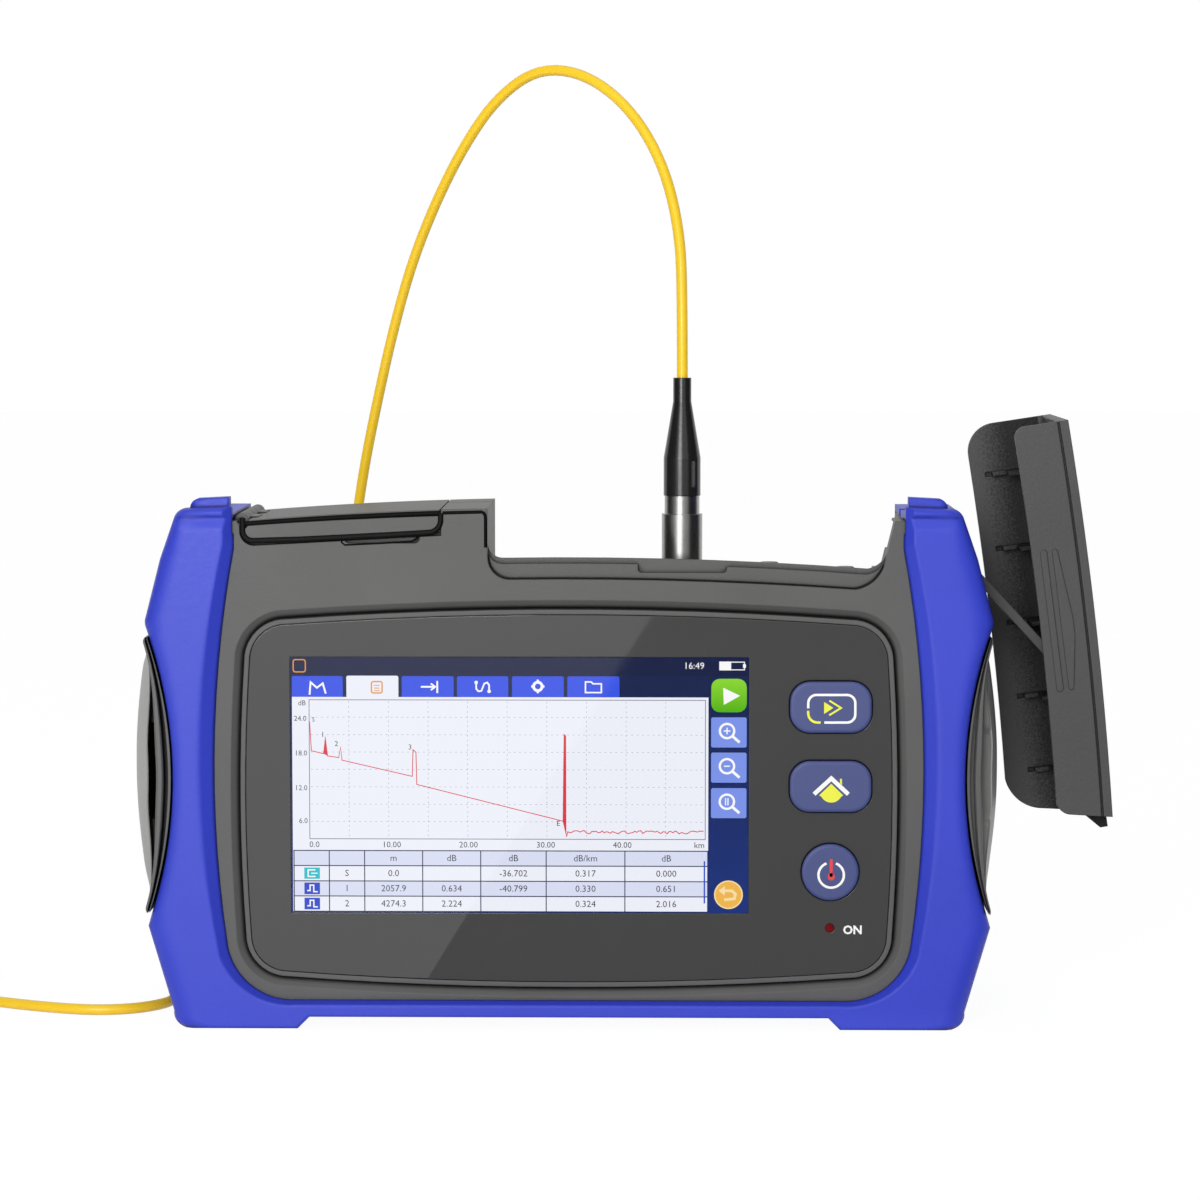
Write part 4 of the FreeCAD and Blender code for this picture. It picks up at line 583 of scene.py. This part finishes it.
def picture(name, shapes, finish, layer):
    """One piece of what the display shows: its shapes in mm, at one thin layer."""
    outlines = [[on_screen(x, y, layer) for x, y in shape] for shape in shapes]
    piece = flat_piece(name, outlines, finish)
    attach(piece, "case")
    return piece


def words(name, texts, finish, layer, place, weight=0.0):
    """Text set flat facing forwards: (text, across, down, height, align) each, fattened by
    weight mm."""
    capital_share = 0.69
    form = bmesh.new()
    for text, across, down, height, align in texts:
        letters = bpy.data.curves.new(name, "FONT")
        letters.body = text
        letters.size = height / 1000 / capital_share
        letters.align_x = align
        letters.align_y = "CENTER"
        letters.resolution_u = 2
        letters.offset = weight / 1000
        body = bpy.data.objects.new(name, letters)
        bpy.context.scene.collection.objects.link(body)
        body.rotation_euler = (math.pi / 2, 0, 0)
        body.location = place(across, down, layer)
        bpy.context.view_layer.update()
        flat = bpy.data.meshes.new_from_object(body.evaluated_get(bpy.context.evaluated_depsgraph_get()))
        flat.transform(body.matrix_world)
        form.from_mesh(flat)
        bpy.data.objects.remove(body)
        bpy.data.meshes.remove(flat)
    mesh = bpy.data.meshes.new(name)
    form.to_mesh(mesh)
    form.free()
    piece = bpy.data.objects.new(name, mesh)
    bpy.context.scene.collection.objects.link(piece)
    piece.data.materials.append(finish)
    return piece


navy = shown("screen_navy", "1c2750", ("22367c", 92, 34))
bar_navy = shown("screen_bar", "1b2347")
tab_blue = shown("screen_tab_blue", "3c58ea")
paper = shown("screen_paper", "f3f5ff")
pale = shown("screen_pale_blue", "dfe3f9")
grid_grey = shown("screen_grid", "a9abbb")
frame_grey = shown("screen_frame", "85869a")
ink = shown("screen_ink", "3c3c46")
rule_ink = shown("screen_rules", "2b3050")
bright = shown("screen_white", "ffffff")
trace_red = shown("screen_trace", "e0404a")
orange = shown("screen_orange", "e9a050")
cyan = shown("screen_cyan", "2fc1cd")
mark_blue = shown("screen_mark_blue", "2f4bcb")
tile_blue = shown("screen_tile", "7f97ee")
green = shown("screen_green", "8fdc38", ("55b416", 95.5, 86.5))
amber = shown("screen_amber", "f4bb52")
cream = shown("screen_cream", "ffe3ae")

wide = (window_high.x - window_low.x) * 1000
tall = (window_high.z - window_low.z) * 1000
picture("screen_ground", [block(0, 0, wide, tall)], navy, 1)
picture("screen_status_bar", [block(0.2, 0.15, wide - 0.1, 5.05)], bar_navy, 2)
tab_edges = [(0.4, 14.2), (30.2, 44.3), (45.2, 59.1), (60.1, 74.1), (75.1, 89.2)]
picture("screen_tabs", [block(a, 5.2, b, 11.1, 0.5) for a, b in tab_edges], tab_blue, 2)
picture("screen_sheet", [block(0.4, 10.9, 113.3, tall - 0.15), block(15.2, 5.1, 29.3, 11.2, 0.5)], paper, 3)

left, right, top, low = 5.04, 112.5, 11.68, 49.68
column = (right - left) / 10
row = (low - top) / 8
dashes = []
for k in range(1, 10):
    x = left + column * k
    y = top + 0.4
    while y < low - 0.5:
        dashes.append(block(x - 0.07, y, x + 0.07, y + 0.5))
        y += 1.3
for k in range(1, 8):
    y = top + row * k
    x = left + 0.4
    while x < right - 0.5:
        dashes.append(block(x, y - 0.07, x + 0.5, y + 0.07))
        x += 1.45
picture("screen_grid", dashes, grid_grey, 4)
picture("screen_graph_frame", stroke([(left, top), (right, top), (right, low), (left, low)], 0.22, True),
        frame_grey, 5)

noise = random.Random(7)
trace = [(5.15, 17.65), (5.6, 25.6), (8.92, 26.4), (9.4, 21.6), (9.98, 27.0), (13.0, 27.45), (13.56, 24.55),
         (13.9, 28.15), (32.98, 32.55), (33.2, 25.25), (34.0, 26.0), (34.2, 34.75), (73.8, 44.7)]
end_peak = [(73.8, 44.7), (74.1, 20.75), (74.75, 21.4), (74.8, 49.0)]
floor_line = [(74.8, 49.0)]
x = 75.2
while x < 112.2:
    floor_line.append((x, 47.75 + noise.uniform(-0.42, 0.42) - (0.6 if noise.random() > 0.94 else 0)))
    x += 0.55
picture("screen_trace", stroke(trace, 0.24) + stroke(floor_line, 0.26)
        + [end_peak] + [[(8.92, 26.4), (9.4, 21.6), (9.98, 27.0)]], trace_red, 7)

rules = [52.9, 57.04, 61.25, 65.4, 69.6]
columns = [0.68, 10.28, 19.9, 35.7, 51.5, 69.3, 90.7, 113.2]
picture("screen_table_bands", [block(0.68, rules[0], 113.2, rules[1]),
                               block(0.68, rules[2], 113.2, rules[3])], pale, 4)
picture("screen_table_rules", [block(0.5, y - 0.14, 113.3, y + 0.14) for y in rules]
        + [block(x - 0.14, rules[0], x + 0.14, rules[4]) for x in columns], rule_ink, 5)
picture("screen_slider", [block(112.1, 55.6, 112.5, 67.2)], mark_blue, 6)

middles = [(a + b) / 2 for a, b in zip(columns, columns[1:])]
lines = [(a + b) / 2 for a, b in zip(rules, rules[1:])]
cells = [("m", 2, 0), ("dB", 3, 0), ("dB", 4, 0), ("dB/km", 5, 0), ("dB", 6, 0),
         ("S", 1, 1), ("0.0", 2, 1), ("-36.702", 4, 1), ("0.317", 5, 1), ("0.000", 6, 1),
         ("1", 1, 2), ("2057.9", 2, 2), ("0.634", 3, 2), ("-40.799", 4, 2), ("0.330", 5, 2), ("0.651", 6, 2),
         ("2", 1, 3), ("4274.3", 2, 3), ("2.224", 3, 3), ("0.324", 5, 3), ("2.016", 6, 3)]
figures = [(text, middles[c], lines[r], 1.75, "CENTER") for text, c, r in cells]
figures += [("dB", 3.1, 12.6, 1.4, "CENTER"), ("24.0", 2.6, 16.84, 1.4, "CENTER"),
            ("18.0", 2.75, 26.3, 1.4, "CENTER"), ("12.0", 2.75, 35.8, 1.4, "CENTER"),
            ("6.0", 3.3, 44.8, 1.4, "CENTER"), ("0.0", 6.3, 51.3, 1.6, "CENTER"),
            ("10.00", 27.3, 51.3, 1.6, "CENTER"), ("20.00", 48.2, 51.3, 1.6, "CENTER"),
            ("30.00", 69.2, 51.3, 1.6, "CENTER"), ("40.00", 90.0, 51.3, 1.6, "CENTER"),
            ("km", 110.9, 51.3, 1.6, "CENTER"), ("S", 6.2, 17.1, 1.2, "CENTER"),
            ("1", 8.7, 21.2, 1.4, "CENTER"), ("2", 12.4, 23.7, 1.4, "CENTER"),
            ("3", 32.4, 24.6, 1.4, "CENTER"), ("E", 72.6, 45.4, 1.4, "CENTER")]
numbers = words("screen_numbers", figures, ink, 8, on_screen)
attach(numbers, "case")
clock = words("screen_clock", [("16:49", 109.4, 2.35, 1.75, "CENTER")], bright, 8, on_screen)
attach(clock, "case")

right_x = (113.5 + wide) / 2
picture("screen_tiles", [block(right_x - 4.8, y, right_x + 4.8, y + 8.2, 0.5) for y in (16.3, 25.9, 35.6)],
        tile_blue, 3)
picture("screen_run_tile", [block(right_x - 4.8, 5.8, right_x + 4.8, 14.9, 2.3)], green, 3)
picture("screen_return_tile", [disc(right_x, 64.8, 3.9, count=32)], amber, 3)
picture("screen_return_rim", stroke(disc(right_x, 64.8, 3.75, count=32), 0.35, True), cream, 5)
whites = [[(right_x - 1.6, 8.2), (right_x + 3.0, 10.4), (right_x - 1.4, 12.9)]]
for y in (20.0, 29.6, 39.3):
    whites += stroke(disc(right_x - 0.5, y, 1.95, count=24), 0.62, True)
    whites += stroke([(right_x + 0.9, y + 1.35), (right_x + 2.9, y + 3.1)], 0.75)
whites += [block(right_x - 1.4, 19.83, right_x + 0.4, 20.17),
           block(right_x - 0.67, 19.1, right_x - 0.33, 20.9),
           block(right_x - 1.3, 29.43, right_x + 0.3, 29.77), block(right_x - 1.0, 38.3, right_x - 0.7, 40.3),
           block(right_x - 0.35, 38.3, right_x - 0.05, 40.3)]
whites += stroke([(118.4, 1.25), (123.0, 1.25), (123.0, 3.35), (118.4, 3.35)], 0.25, True)
whites += [block(116.2, 1.1, 119.4, 3.5), block(122.6, 1.8, 123.4, 2.8)]
whites += stroke([(5.2, 10.3), (5.5, 6.9), (7.2, 8.4), (8.8, 7.2), (9.6, 10.0)], 0.5)
whites += stroke([(35.4, 8.1), (39.2, 8.1)], 0.5) + stroke([(38.1, 7.2), (39.3, 8.1), (38.1, 9.0)], 0.45)
whites += [block(39.6, 6.5, 40.1, 9.8)]
whites += stroke([(50.4, 7.2), (50.4, 8.6), (51.0, 9.3), (51.8, 9.2), (52.2, 8.2), (52.6, 7.2), (53.4, 6.9),
                  (53.9, 7.6), (53.9, 9.0)], 0.45)
whites += [disc(50.4, 6.9, 0.5, count=10), disc(53.9, 9.3, 0.5, count=10)]
whites += stroke(disc(67.1, 7.95, 1.15, count=20), 0.75, True)
whites += [block(66.8, 6.1, 67.4, 7.0), block(66.8, 8.9, 67.4, 9.8), block(65.3, 7.65, 66.2, 8.25),
           block(68.0, 7.65, 68.9, 8.25)]
whites += stroke([(80.0, 9.6), (80.0, 6.7), (81.6, 6.7), (82.0, 7.2), (84.3, 7.2), (84.3, 9.6)], 0.4, True)
picture("screen_symbols", whites, bright, 6)
picture("screen_orange_symbols", stroke(block(22.0, 6.7, 24.9, 9.8, 0.5), 0.4, True)
        + [block(22.7, 7.6, 24.2, 7.85), block(22.7, 8.35, 24.2, 8.6), block(22.7, 9.05, 24.2, 9.3)]
        + stroke(block(0.8, 0.75, 4.1, 4.1, 0.6), 0.3, True), orange, 6)
picture("screen_return_arrow", stroke([(right_x - 1.9, 63.7), (right_x + 0.9, 63.7), (right_x + 1.9, 64.6),
                                       (right_x + 1.6, 65.9), (right_x - 1.2, 66.2)], 0.75)
        + [[(right_x - 2.7, 63.7), (right_x - 1.0, 62.4), (right_x - 1.0, 65.0)]], cream, 6)
picture("screen_event_start", [block(3.45, lines[1] - 1.55, 7.7, lines[1] + 1.55)], cyan, 6)
picture("screen_event_marks", [block(3.45, lines[r] - 1.6, 7.7, lines[r] + 1.6) for r in (2, 3)],
        mark_blue, 6)
y = lines[1]
marks = stroke([(6.5, y - 0.9), (4.5, y - 0.9), (4.5, y + 0.9), (6.5, y + 0.9)], 0.35)
marks += stroke([(5.3, y), (7.1, y)], 0.3)
for y in lines[2:4]:
    marks += stroke([(4.2, y + 0.6), (5.0, y + 0.6), (5.0, y - 0.9), (6.0, y - 0.9), (6.0, y + 0.9),
                     (7.1, y + 0.9)], 0.35)
picture("screen_event_symbols", marks, bright, 8)


# ---- The keys ----
# Three rubber keys, slate blue with a printed symbol each, that press through the overlay:
# run, home and power. Below them a red light shows that the unit is on.

# Painted shade in the gaps round the keys.
key_rubber = moulded("key_rubber", "414b80", 0.45, size=0.0012, depth=0.00001, edge=0.0011, spread=0.03,
                     crease_shade=0.0014)
dress(key_rubber, "run_button", "home_button", "power_button")
key_white = moulded("print_white", "f4f4f0", 0.5, size=0.002, depth=0.000002, edge=0.0, spread=0.02)
key_yellow = moulded("print_yellow", "e9ea3e", 0.5, size=0.002, depth=0.000002, edge=0.0, spread=0.02)
key_red = moulded("print_red", "dc3b40", 0.5, size=0.002, depth=0.000002, edge=0.0, spread=0.02)


def printed(name, key, shapes, finish, lift=0.03):
    """Ink on a key's face: shapes in mm from the key's middle."""
    lowest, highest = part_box(key)
    cx, cz = (lowest.x + highest.x) / 2, (lowest.z + highest.z) / 2
    y = lowest.y - lift / 1000
    outlines = [[(cx + a / 1000, y, cz + b / 1000) for a, b in shape] for shape in shapes]
    piece = flat_piece(name, outlines, finish)
    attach(piece, key.replace("_button", "_key"))
    return piece


def corner_arc(cx, cz, radius, start, turn):
    """One rounded corner of a key's printed frame."""
    return disc(cx, cz, radius, start, turn, 6)


wx, wz, r = 6.35, 3.75, 2.2
cx, cz = 0.18, -0.33
outline = [(cx - wx, cz + 0.1)] + corner_arc(cx - wx + r, cz + wz - r, r, 180, -90) \
    + corner_arc(cx + wx - r, cz + wz - r, r, 90, -90) + corner_arc(cx + wx - r, cz - wz + r, r, 0, -90) \
    + [(cx - 2.0, cz - wz)]
printed("run_symbol_frame", "run_button", stroke(outline, 0.66), key_white)
printed("run_symbol_corner", "run_button", stroke([(cx - wx, cz - 0.55)]
        + corner_arc(cx - wx + r + 0.3, cz - wz + r + 0.3, r + 0.3, 180, 90) + [(cx - 3.0, cz - wz)], 0.66)
        + [[(-1.9, 1.55), (-1.9, -1.75), (0.6, -0.1)]]
        + stroke([(-0.5, 1.9), (2.7, -0.1), (-0.5, -2.1)], 0.5), key_yellow, 0.05)
printed("home_symbol_roof", "home_button", stroke([(-4.5, -2.0), (0.15, 2.3), (4.8, -2.0)], 1.15), key_white)
printed("home_symbol_house", "home_button",
        [[(0.15, 0.85), (3.4, -2.3)] + disc(0.15, -1.3, 3.0, -28, -124, 10) + [(-3.1, -2.3)],
         [(2.5, 1.0), (3.05, 0.5), (3.05, 2.2), (2.5, 2.2)]], key_yellow, 0.05)
printed("power_symbol_ring", "power_button", stroke(disc(0.25, -0.7, 3.45, 112, 316, 28), 0.66), key_white)
printed("power_symbol_bar", "power_button", [block(-0.2, -1.2, 0.7, 3.7, 0.35), disc(0.25, -1.15, 1.0)],
        key_red, 0.05)

lamp_red, tree, shader = procedural("indicator_red", "62060a", 0.25)
shader.inputs["Specular IOR Level"].default_value = 0.2
mottled(tree, shader, "62060a", 0.3, 0.0015)
dress(lamp_red, "light_pipe")

lens_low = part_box("front_lens")[0]
pipe_low, pipe_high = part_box("light_pipe")


def on_panel(across, up, layer):
    """A place on the overlay, in mm from the red light's middle, in front by thin layers."""
    return ((pipe_low.x + pipe_high.x) / 2 + across / 1000, lens_low.y - 0.00003 * layer,
            (pipe_low.z + pipe_high.z) / 2 + up / 1000)


legend = words("on_legend", [("ON", 6.2, -0.6, 2.25, "CENTER")], key_white, 1, on_panel, 0.1)
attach(legend, "case")


# ---- The port bay ----
# A metal plate set in the top of the case carries the threaded adapter for the line port
# and two ferrule ports under snap caps, held by four small screws.

plate_metal, tree, shader = procedural("anodised_plate", "6e6f70", 0.45, 0.2)
mottled(tree, shader, "6e6f70", 0.06, 0.01)
grained(tree, shader, 0.0005, 0.00001, 0.0003, (0.4, 0.55))
dress(plate_metal, "connector_plate")
dress(nickel, "otdr_adapter", "visual_fault_port", "power_meter_port")
dress(cap_plastic, "visual_fault_cap", "power_meter_cap")
steel, tree, shader = procedural("zinc_steel", "a0a09d", 0.32, 1.0)
mottled(tree, shader, "a0a09d", 0.1, 0.002)
grained(tree, shader, 0.0003, 0.000008, 0.0002, (0.25, 0.42))
dress(steel, "plate_screws", "board_screws", "case_screws", "battery_door_screws")
black_oxide, tree, shader = procedural("black_oxide", "2c2c2c", 0.45, 0.6)
mottled(tree, shader, "2c2c2c", 0.1, 0.002)
grained(tree, shader, 0.0003, 0.000008, 0.0002, (0.38, 0.52))
dress(black_oxide, "stand_pins", "door_hinge_pin", "arm_pivot_pin", "cover_pivot_pin")


# ---- The interface door ----
# A flap of the case's own grey plastic hinged at its outer end over the data and charging
# sockets. Black beads are painted shade: one lies in the gap round the flap, and thin ones lie
# on the case's front in the grooves under the top edge, beside the bay and round the finger notch.

dress(grey_abs, "port_door")
# Near black with little gloss: the painted shade of the gaps and grooves.
gap_shade_black = moulded("gap_shade_black", "060606", 0.6, size=0.001, depth=0.00001)
gap_shade_black.node_tree.nodes["Principled BSDF"].inputs["Specular IOR Level"].default_value = 0.2
case_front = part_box("front_shell")[0].y * 1000
door_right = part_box("port_door")[1].x * 1000
top_crown_radius = 1100.0
top_middle = 142.0


def groove_shade_height(x, below):
    """Height at x, in mm, of a line that runs below the crowned top edge."""
    return top_middle - top_crown_radius + math.sqrt(top_crown_radius ** 2 - x * x) - below


def shade_bead(name, path, width, lift, body):
    """A low rounded black bead along a path on the case's front, in mm: painted shade in a gap or groove."""
    off = 0.02
    profile = [(-0.5, off), (-0.34, off + lift * 0.8), (0.0, off + lift),
               (0.34, off + lift * 0.8), (0.5, off)]
    form = bmesh.new()
    rows = []
    for k, (x, z) in enumerate(path):
        back, ahead = path[max(0, k - 1)], path[min(len(path) - 1, k + 1)]
        along = Vector((ahead[0] - back[0], ahead[1] - back[1])).normalized()
        rows.append([form.verts.new(((x - along.y * a * width) / 1000, (case_front - up) / 1000,
                                     (z + along.x * a * width) / 1000)) for a, up in profile])
    for low, high in zip(rows, rows[1:]):
        for k in range(len(profile) - 1):
            form.faces.new([low[k], high[k], high[k + 1], low[k + 1]])
        form.faces.new([low[-1], high[-1], high[0], low[0]])
    form.faces.new(rows[0])
    form.faces.new(rows[-1])
    bmesh.ops.recalc_face_normals(form, faces=form.faces)
    for face in form.faces:
        face.smooth = True
    mesh = bpy.data.meshes.new(name)
    form.to_mesh(mesh)
    form.free()
    mesh.set_sharp_from_angle(angle=math.radians(50))
    mesh.materials.append(gap_shade_black)
    bead = bpy.data.objects.new(name, mesh)
    bpy.context.scene.collection.objects.link(bead)
    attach(bead, body)


right_end = door_right + 0.3
gap_shade_path = [(-87.9, 139.2), (-87.9, 135.7)] + disc(-85.2, 135.7, 2.7, 190, 75, 10) \
    + [(-72.4, 133.4), (-60.3, 134.0), (-48.0, 134.65), (-38.6, 135.2)] \
    + disc(right_end - 3.4, 138.65, 3.4, 282, 72, 10) + [(right_end, 140.4)]
shade_bead("door_gap_shade", gap_shade_path, 1.5, 0.3, "interface_door")
shade_bead("door_top_groove_shade", [(x, groove_shade_height(x, 0.95)) for x in (-87.3, -80, -70, -60, -50, -40, right_end)],
            1.3, 0.05, "interface_door")
shade_bead("bay_groove_shade", [(x, groove_shade_height(x, 0.95)) for x in (-33.9, -28.0, -23.4)]
            + [(-22.75, 140.5), (-22.4, 139.9), (-22.3, 139.0), (-22.3, 131.2)], 0.9, 0.05, "case")
shade_bead("notch_groove_shade", [(-61.3, 133.2), (-61.1, 132.5), (-60.3, 131.85), (-50.8, 132.32), (-42.3, 132.85),
                           (-41.2, 133.4), (-40.6, 134.2)], 0.5, 0.03, "case")
dress(nickel, "usb_a_socket", "usb_micro_socket")
dress(cap_plastic, "dc_jack")


# ---- The bay cover ----
# A channel of grey plastic that swings up on a flat arm and hangs beside the case when the
# ports are in use. Its outer face has two moulded finger marks. Its inner faces carry a
# painted shade.

def shadowed_inside(tree, shader):
    """Painted shade: the channel's inner faces darken inwards from its back skirt's edge."""
    lean = math.radians(8.7)
    length_across = Vector((math.cos(lean), 0, math.sin(lean)))
    edge = min(corner.co.dot(length_across) for corner in nodes["bay_cover"].data.vertices)
    behind_front, before_back, before_web = -0.0315, 0.0135, edge + 0.0235

    def above(value, limit, sign=1):
        test = tree.nodes.new("ShaderNodeMath")
        test.operation = "GREATER_THAN" if sign > 0 else "LESS_THAN"
        test.inputs[1].default_value = limit
        tree.links.new(value, test.inputs[0])
        return test.outputs[0]

    place = tree.nodes.new("ShaderNodeTexCoord")
    split = tree.nodes.new("ShaderNodeSeparateXYZ")
    across = tree.nodes.new("ShaderNodeVectorMath")
    across.operation = "DOT_PRODUCT"
    across.inputs[1].default_value = length_across
    speck = tree.nodes.new("ShaderNodeTexNoise")
    speck.inputs["Scale"].default_value = 1 / 0.0006
    shaken = tree.nodes.new("ShaderNodeMath")
    shaken.operation = "MULTIPLY_ADD"
    shaken.inputs[1].default_value = 0.012
    fade = tree.nodes.new("ShaderNodeMapRange")
    fade.inputs["From Min"].default_value = edge + 0.0115
    fade.inputs["From Max"].default_value = edge + 0.0195
    tree.links.new(place.outputs["Object"], split.inputs[0])
    tree.links.new(place.outputs["Object"], across.inputs[0])
    tree.links.new(place.outputs["Object"], speck.inputs["Vector"])
    tree.links.new(speck.outputs["Fac"], shaken.inputs[0])
    tree.links.new(across.outputs["Value"], shaken.inputs[2])
    tree.links.new(shaken.outputs[0], fade.inputs["Value"])
    share = fade.outputs["Result"]
    for test in (above(split.outputs["Y"], behind_front), above(split.outputs["Y"], before_back, -1),
                 above(across.outputs["Value"], before_web, -1)):
        both = tree.nodes.new("ShaderNodeMath")
        both.operation = "MULTIPLY"
        tree.links.new(share, both.inputs[0])
        tree.links.new(test, both.inputs[1])
        share = both.outputs[0]
    mix = tree.nodes.new("ShaderNodeMix")
    mix.data_type = "RGBA"
    mix.inputs[7].default_value = linear("070707")
    tree.links.new(share, mix.inputs[0])
    tree.links.new(shader.inputs["Base Color"].links[0].from_socket, mix.inputs[6])
    tree.links.new(mix.outputs[2], shader.inputs["Base Color"])


cover_abs = moulded("cover_abs", "4a4a4a", 0.5, size=0.0008, depth=0.00006, edge=0.0004)
cover_abs.node_tree.nodes["Principled BSDF"].inputs["Specular IOR Level"].default_value = 0.35
shadowed_inside(cover_abs.node_tree, cover_abs.node_tree.nodes["Principled BSDF"])
# Painted shade in the cover's grooves, besides the painted shade of its inner faces.
painted_crease_shade(cover_abs.node_tree, cover_abs.node_tree.nodes["Principled BSDF"], "4a4a4a", 0.0016)
dress(cover_abs, "bay_cover")
# Painted shade in the arm's grooves and gaps.
arm_abs = moulded("arm_abs", "4c4c4c", 0.45, size=0.0008, depth=0.00003, edge=0.0004, crease_shade=0.003)
dress(arm_abs, "cover_arm")


# ---- The back and the inside ----
# A fold-out stand on two pins, the screwed battery door, and inside the case the battery,
# the boards, the optical block and the speaker.

stand_plastic = moulded("stand_plastic", "2b2b2c", 0.5)
dress(stand_plastic, "tilt_stand", "battery_door")
board, tree, shader = procedural("green_board", "14502c", 0.4)
mottled(tree, shader, "14502c", 0.15, 0.004)
grained(tree, shader, 0.0008, 0.00003, 0.0, (0.3, 0.5))
dress(board, "main_board", "keypad_board", "io_board")
wrap = moulded("battery_wrap", "20222a", 0.35)
dress(wrap, "battery_pack", "speaker")
dress(plate_metal, "optical_module")
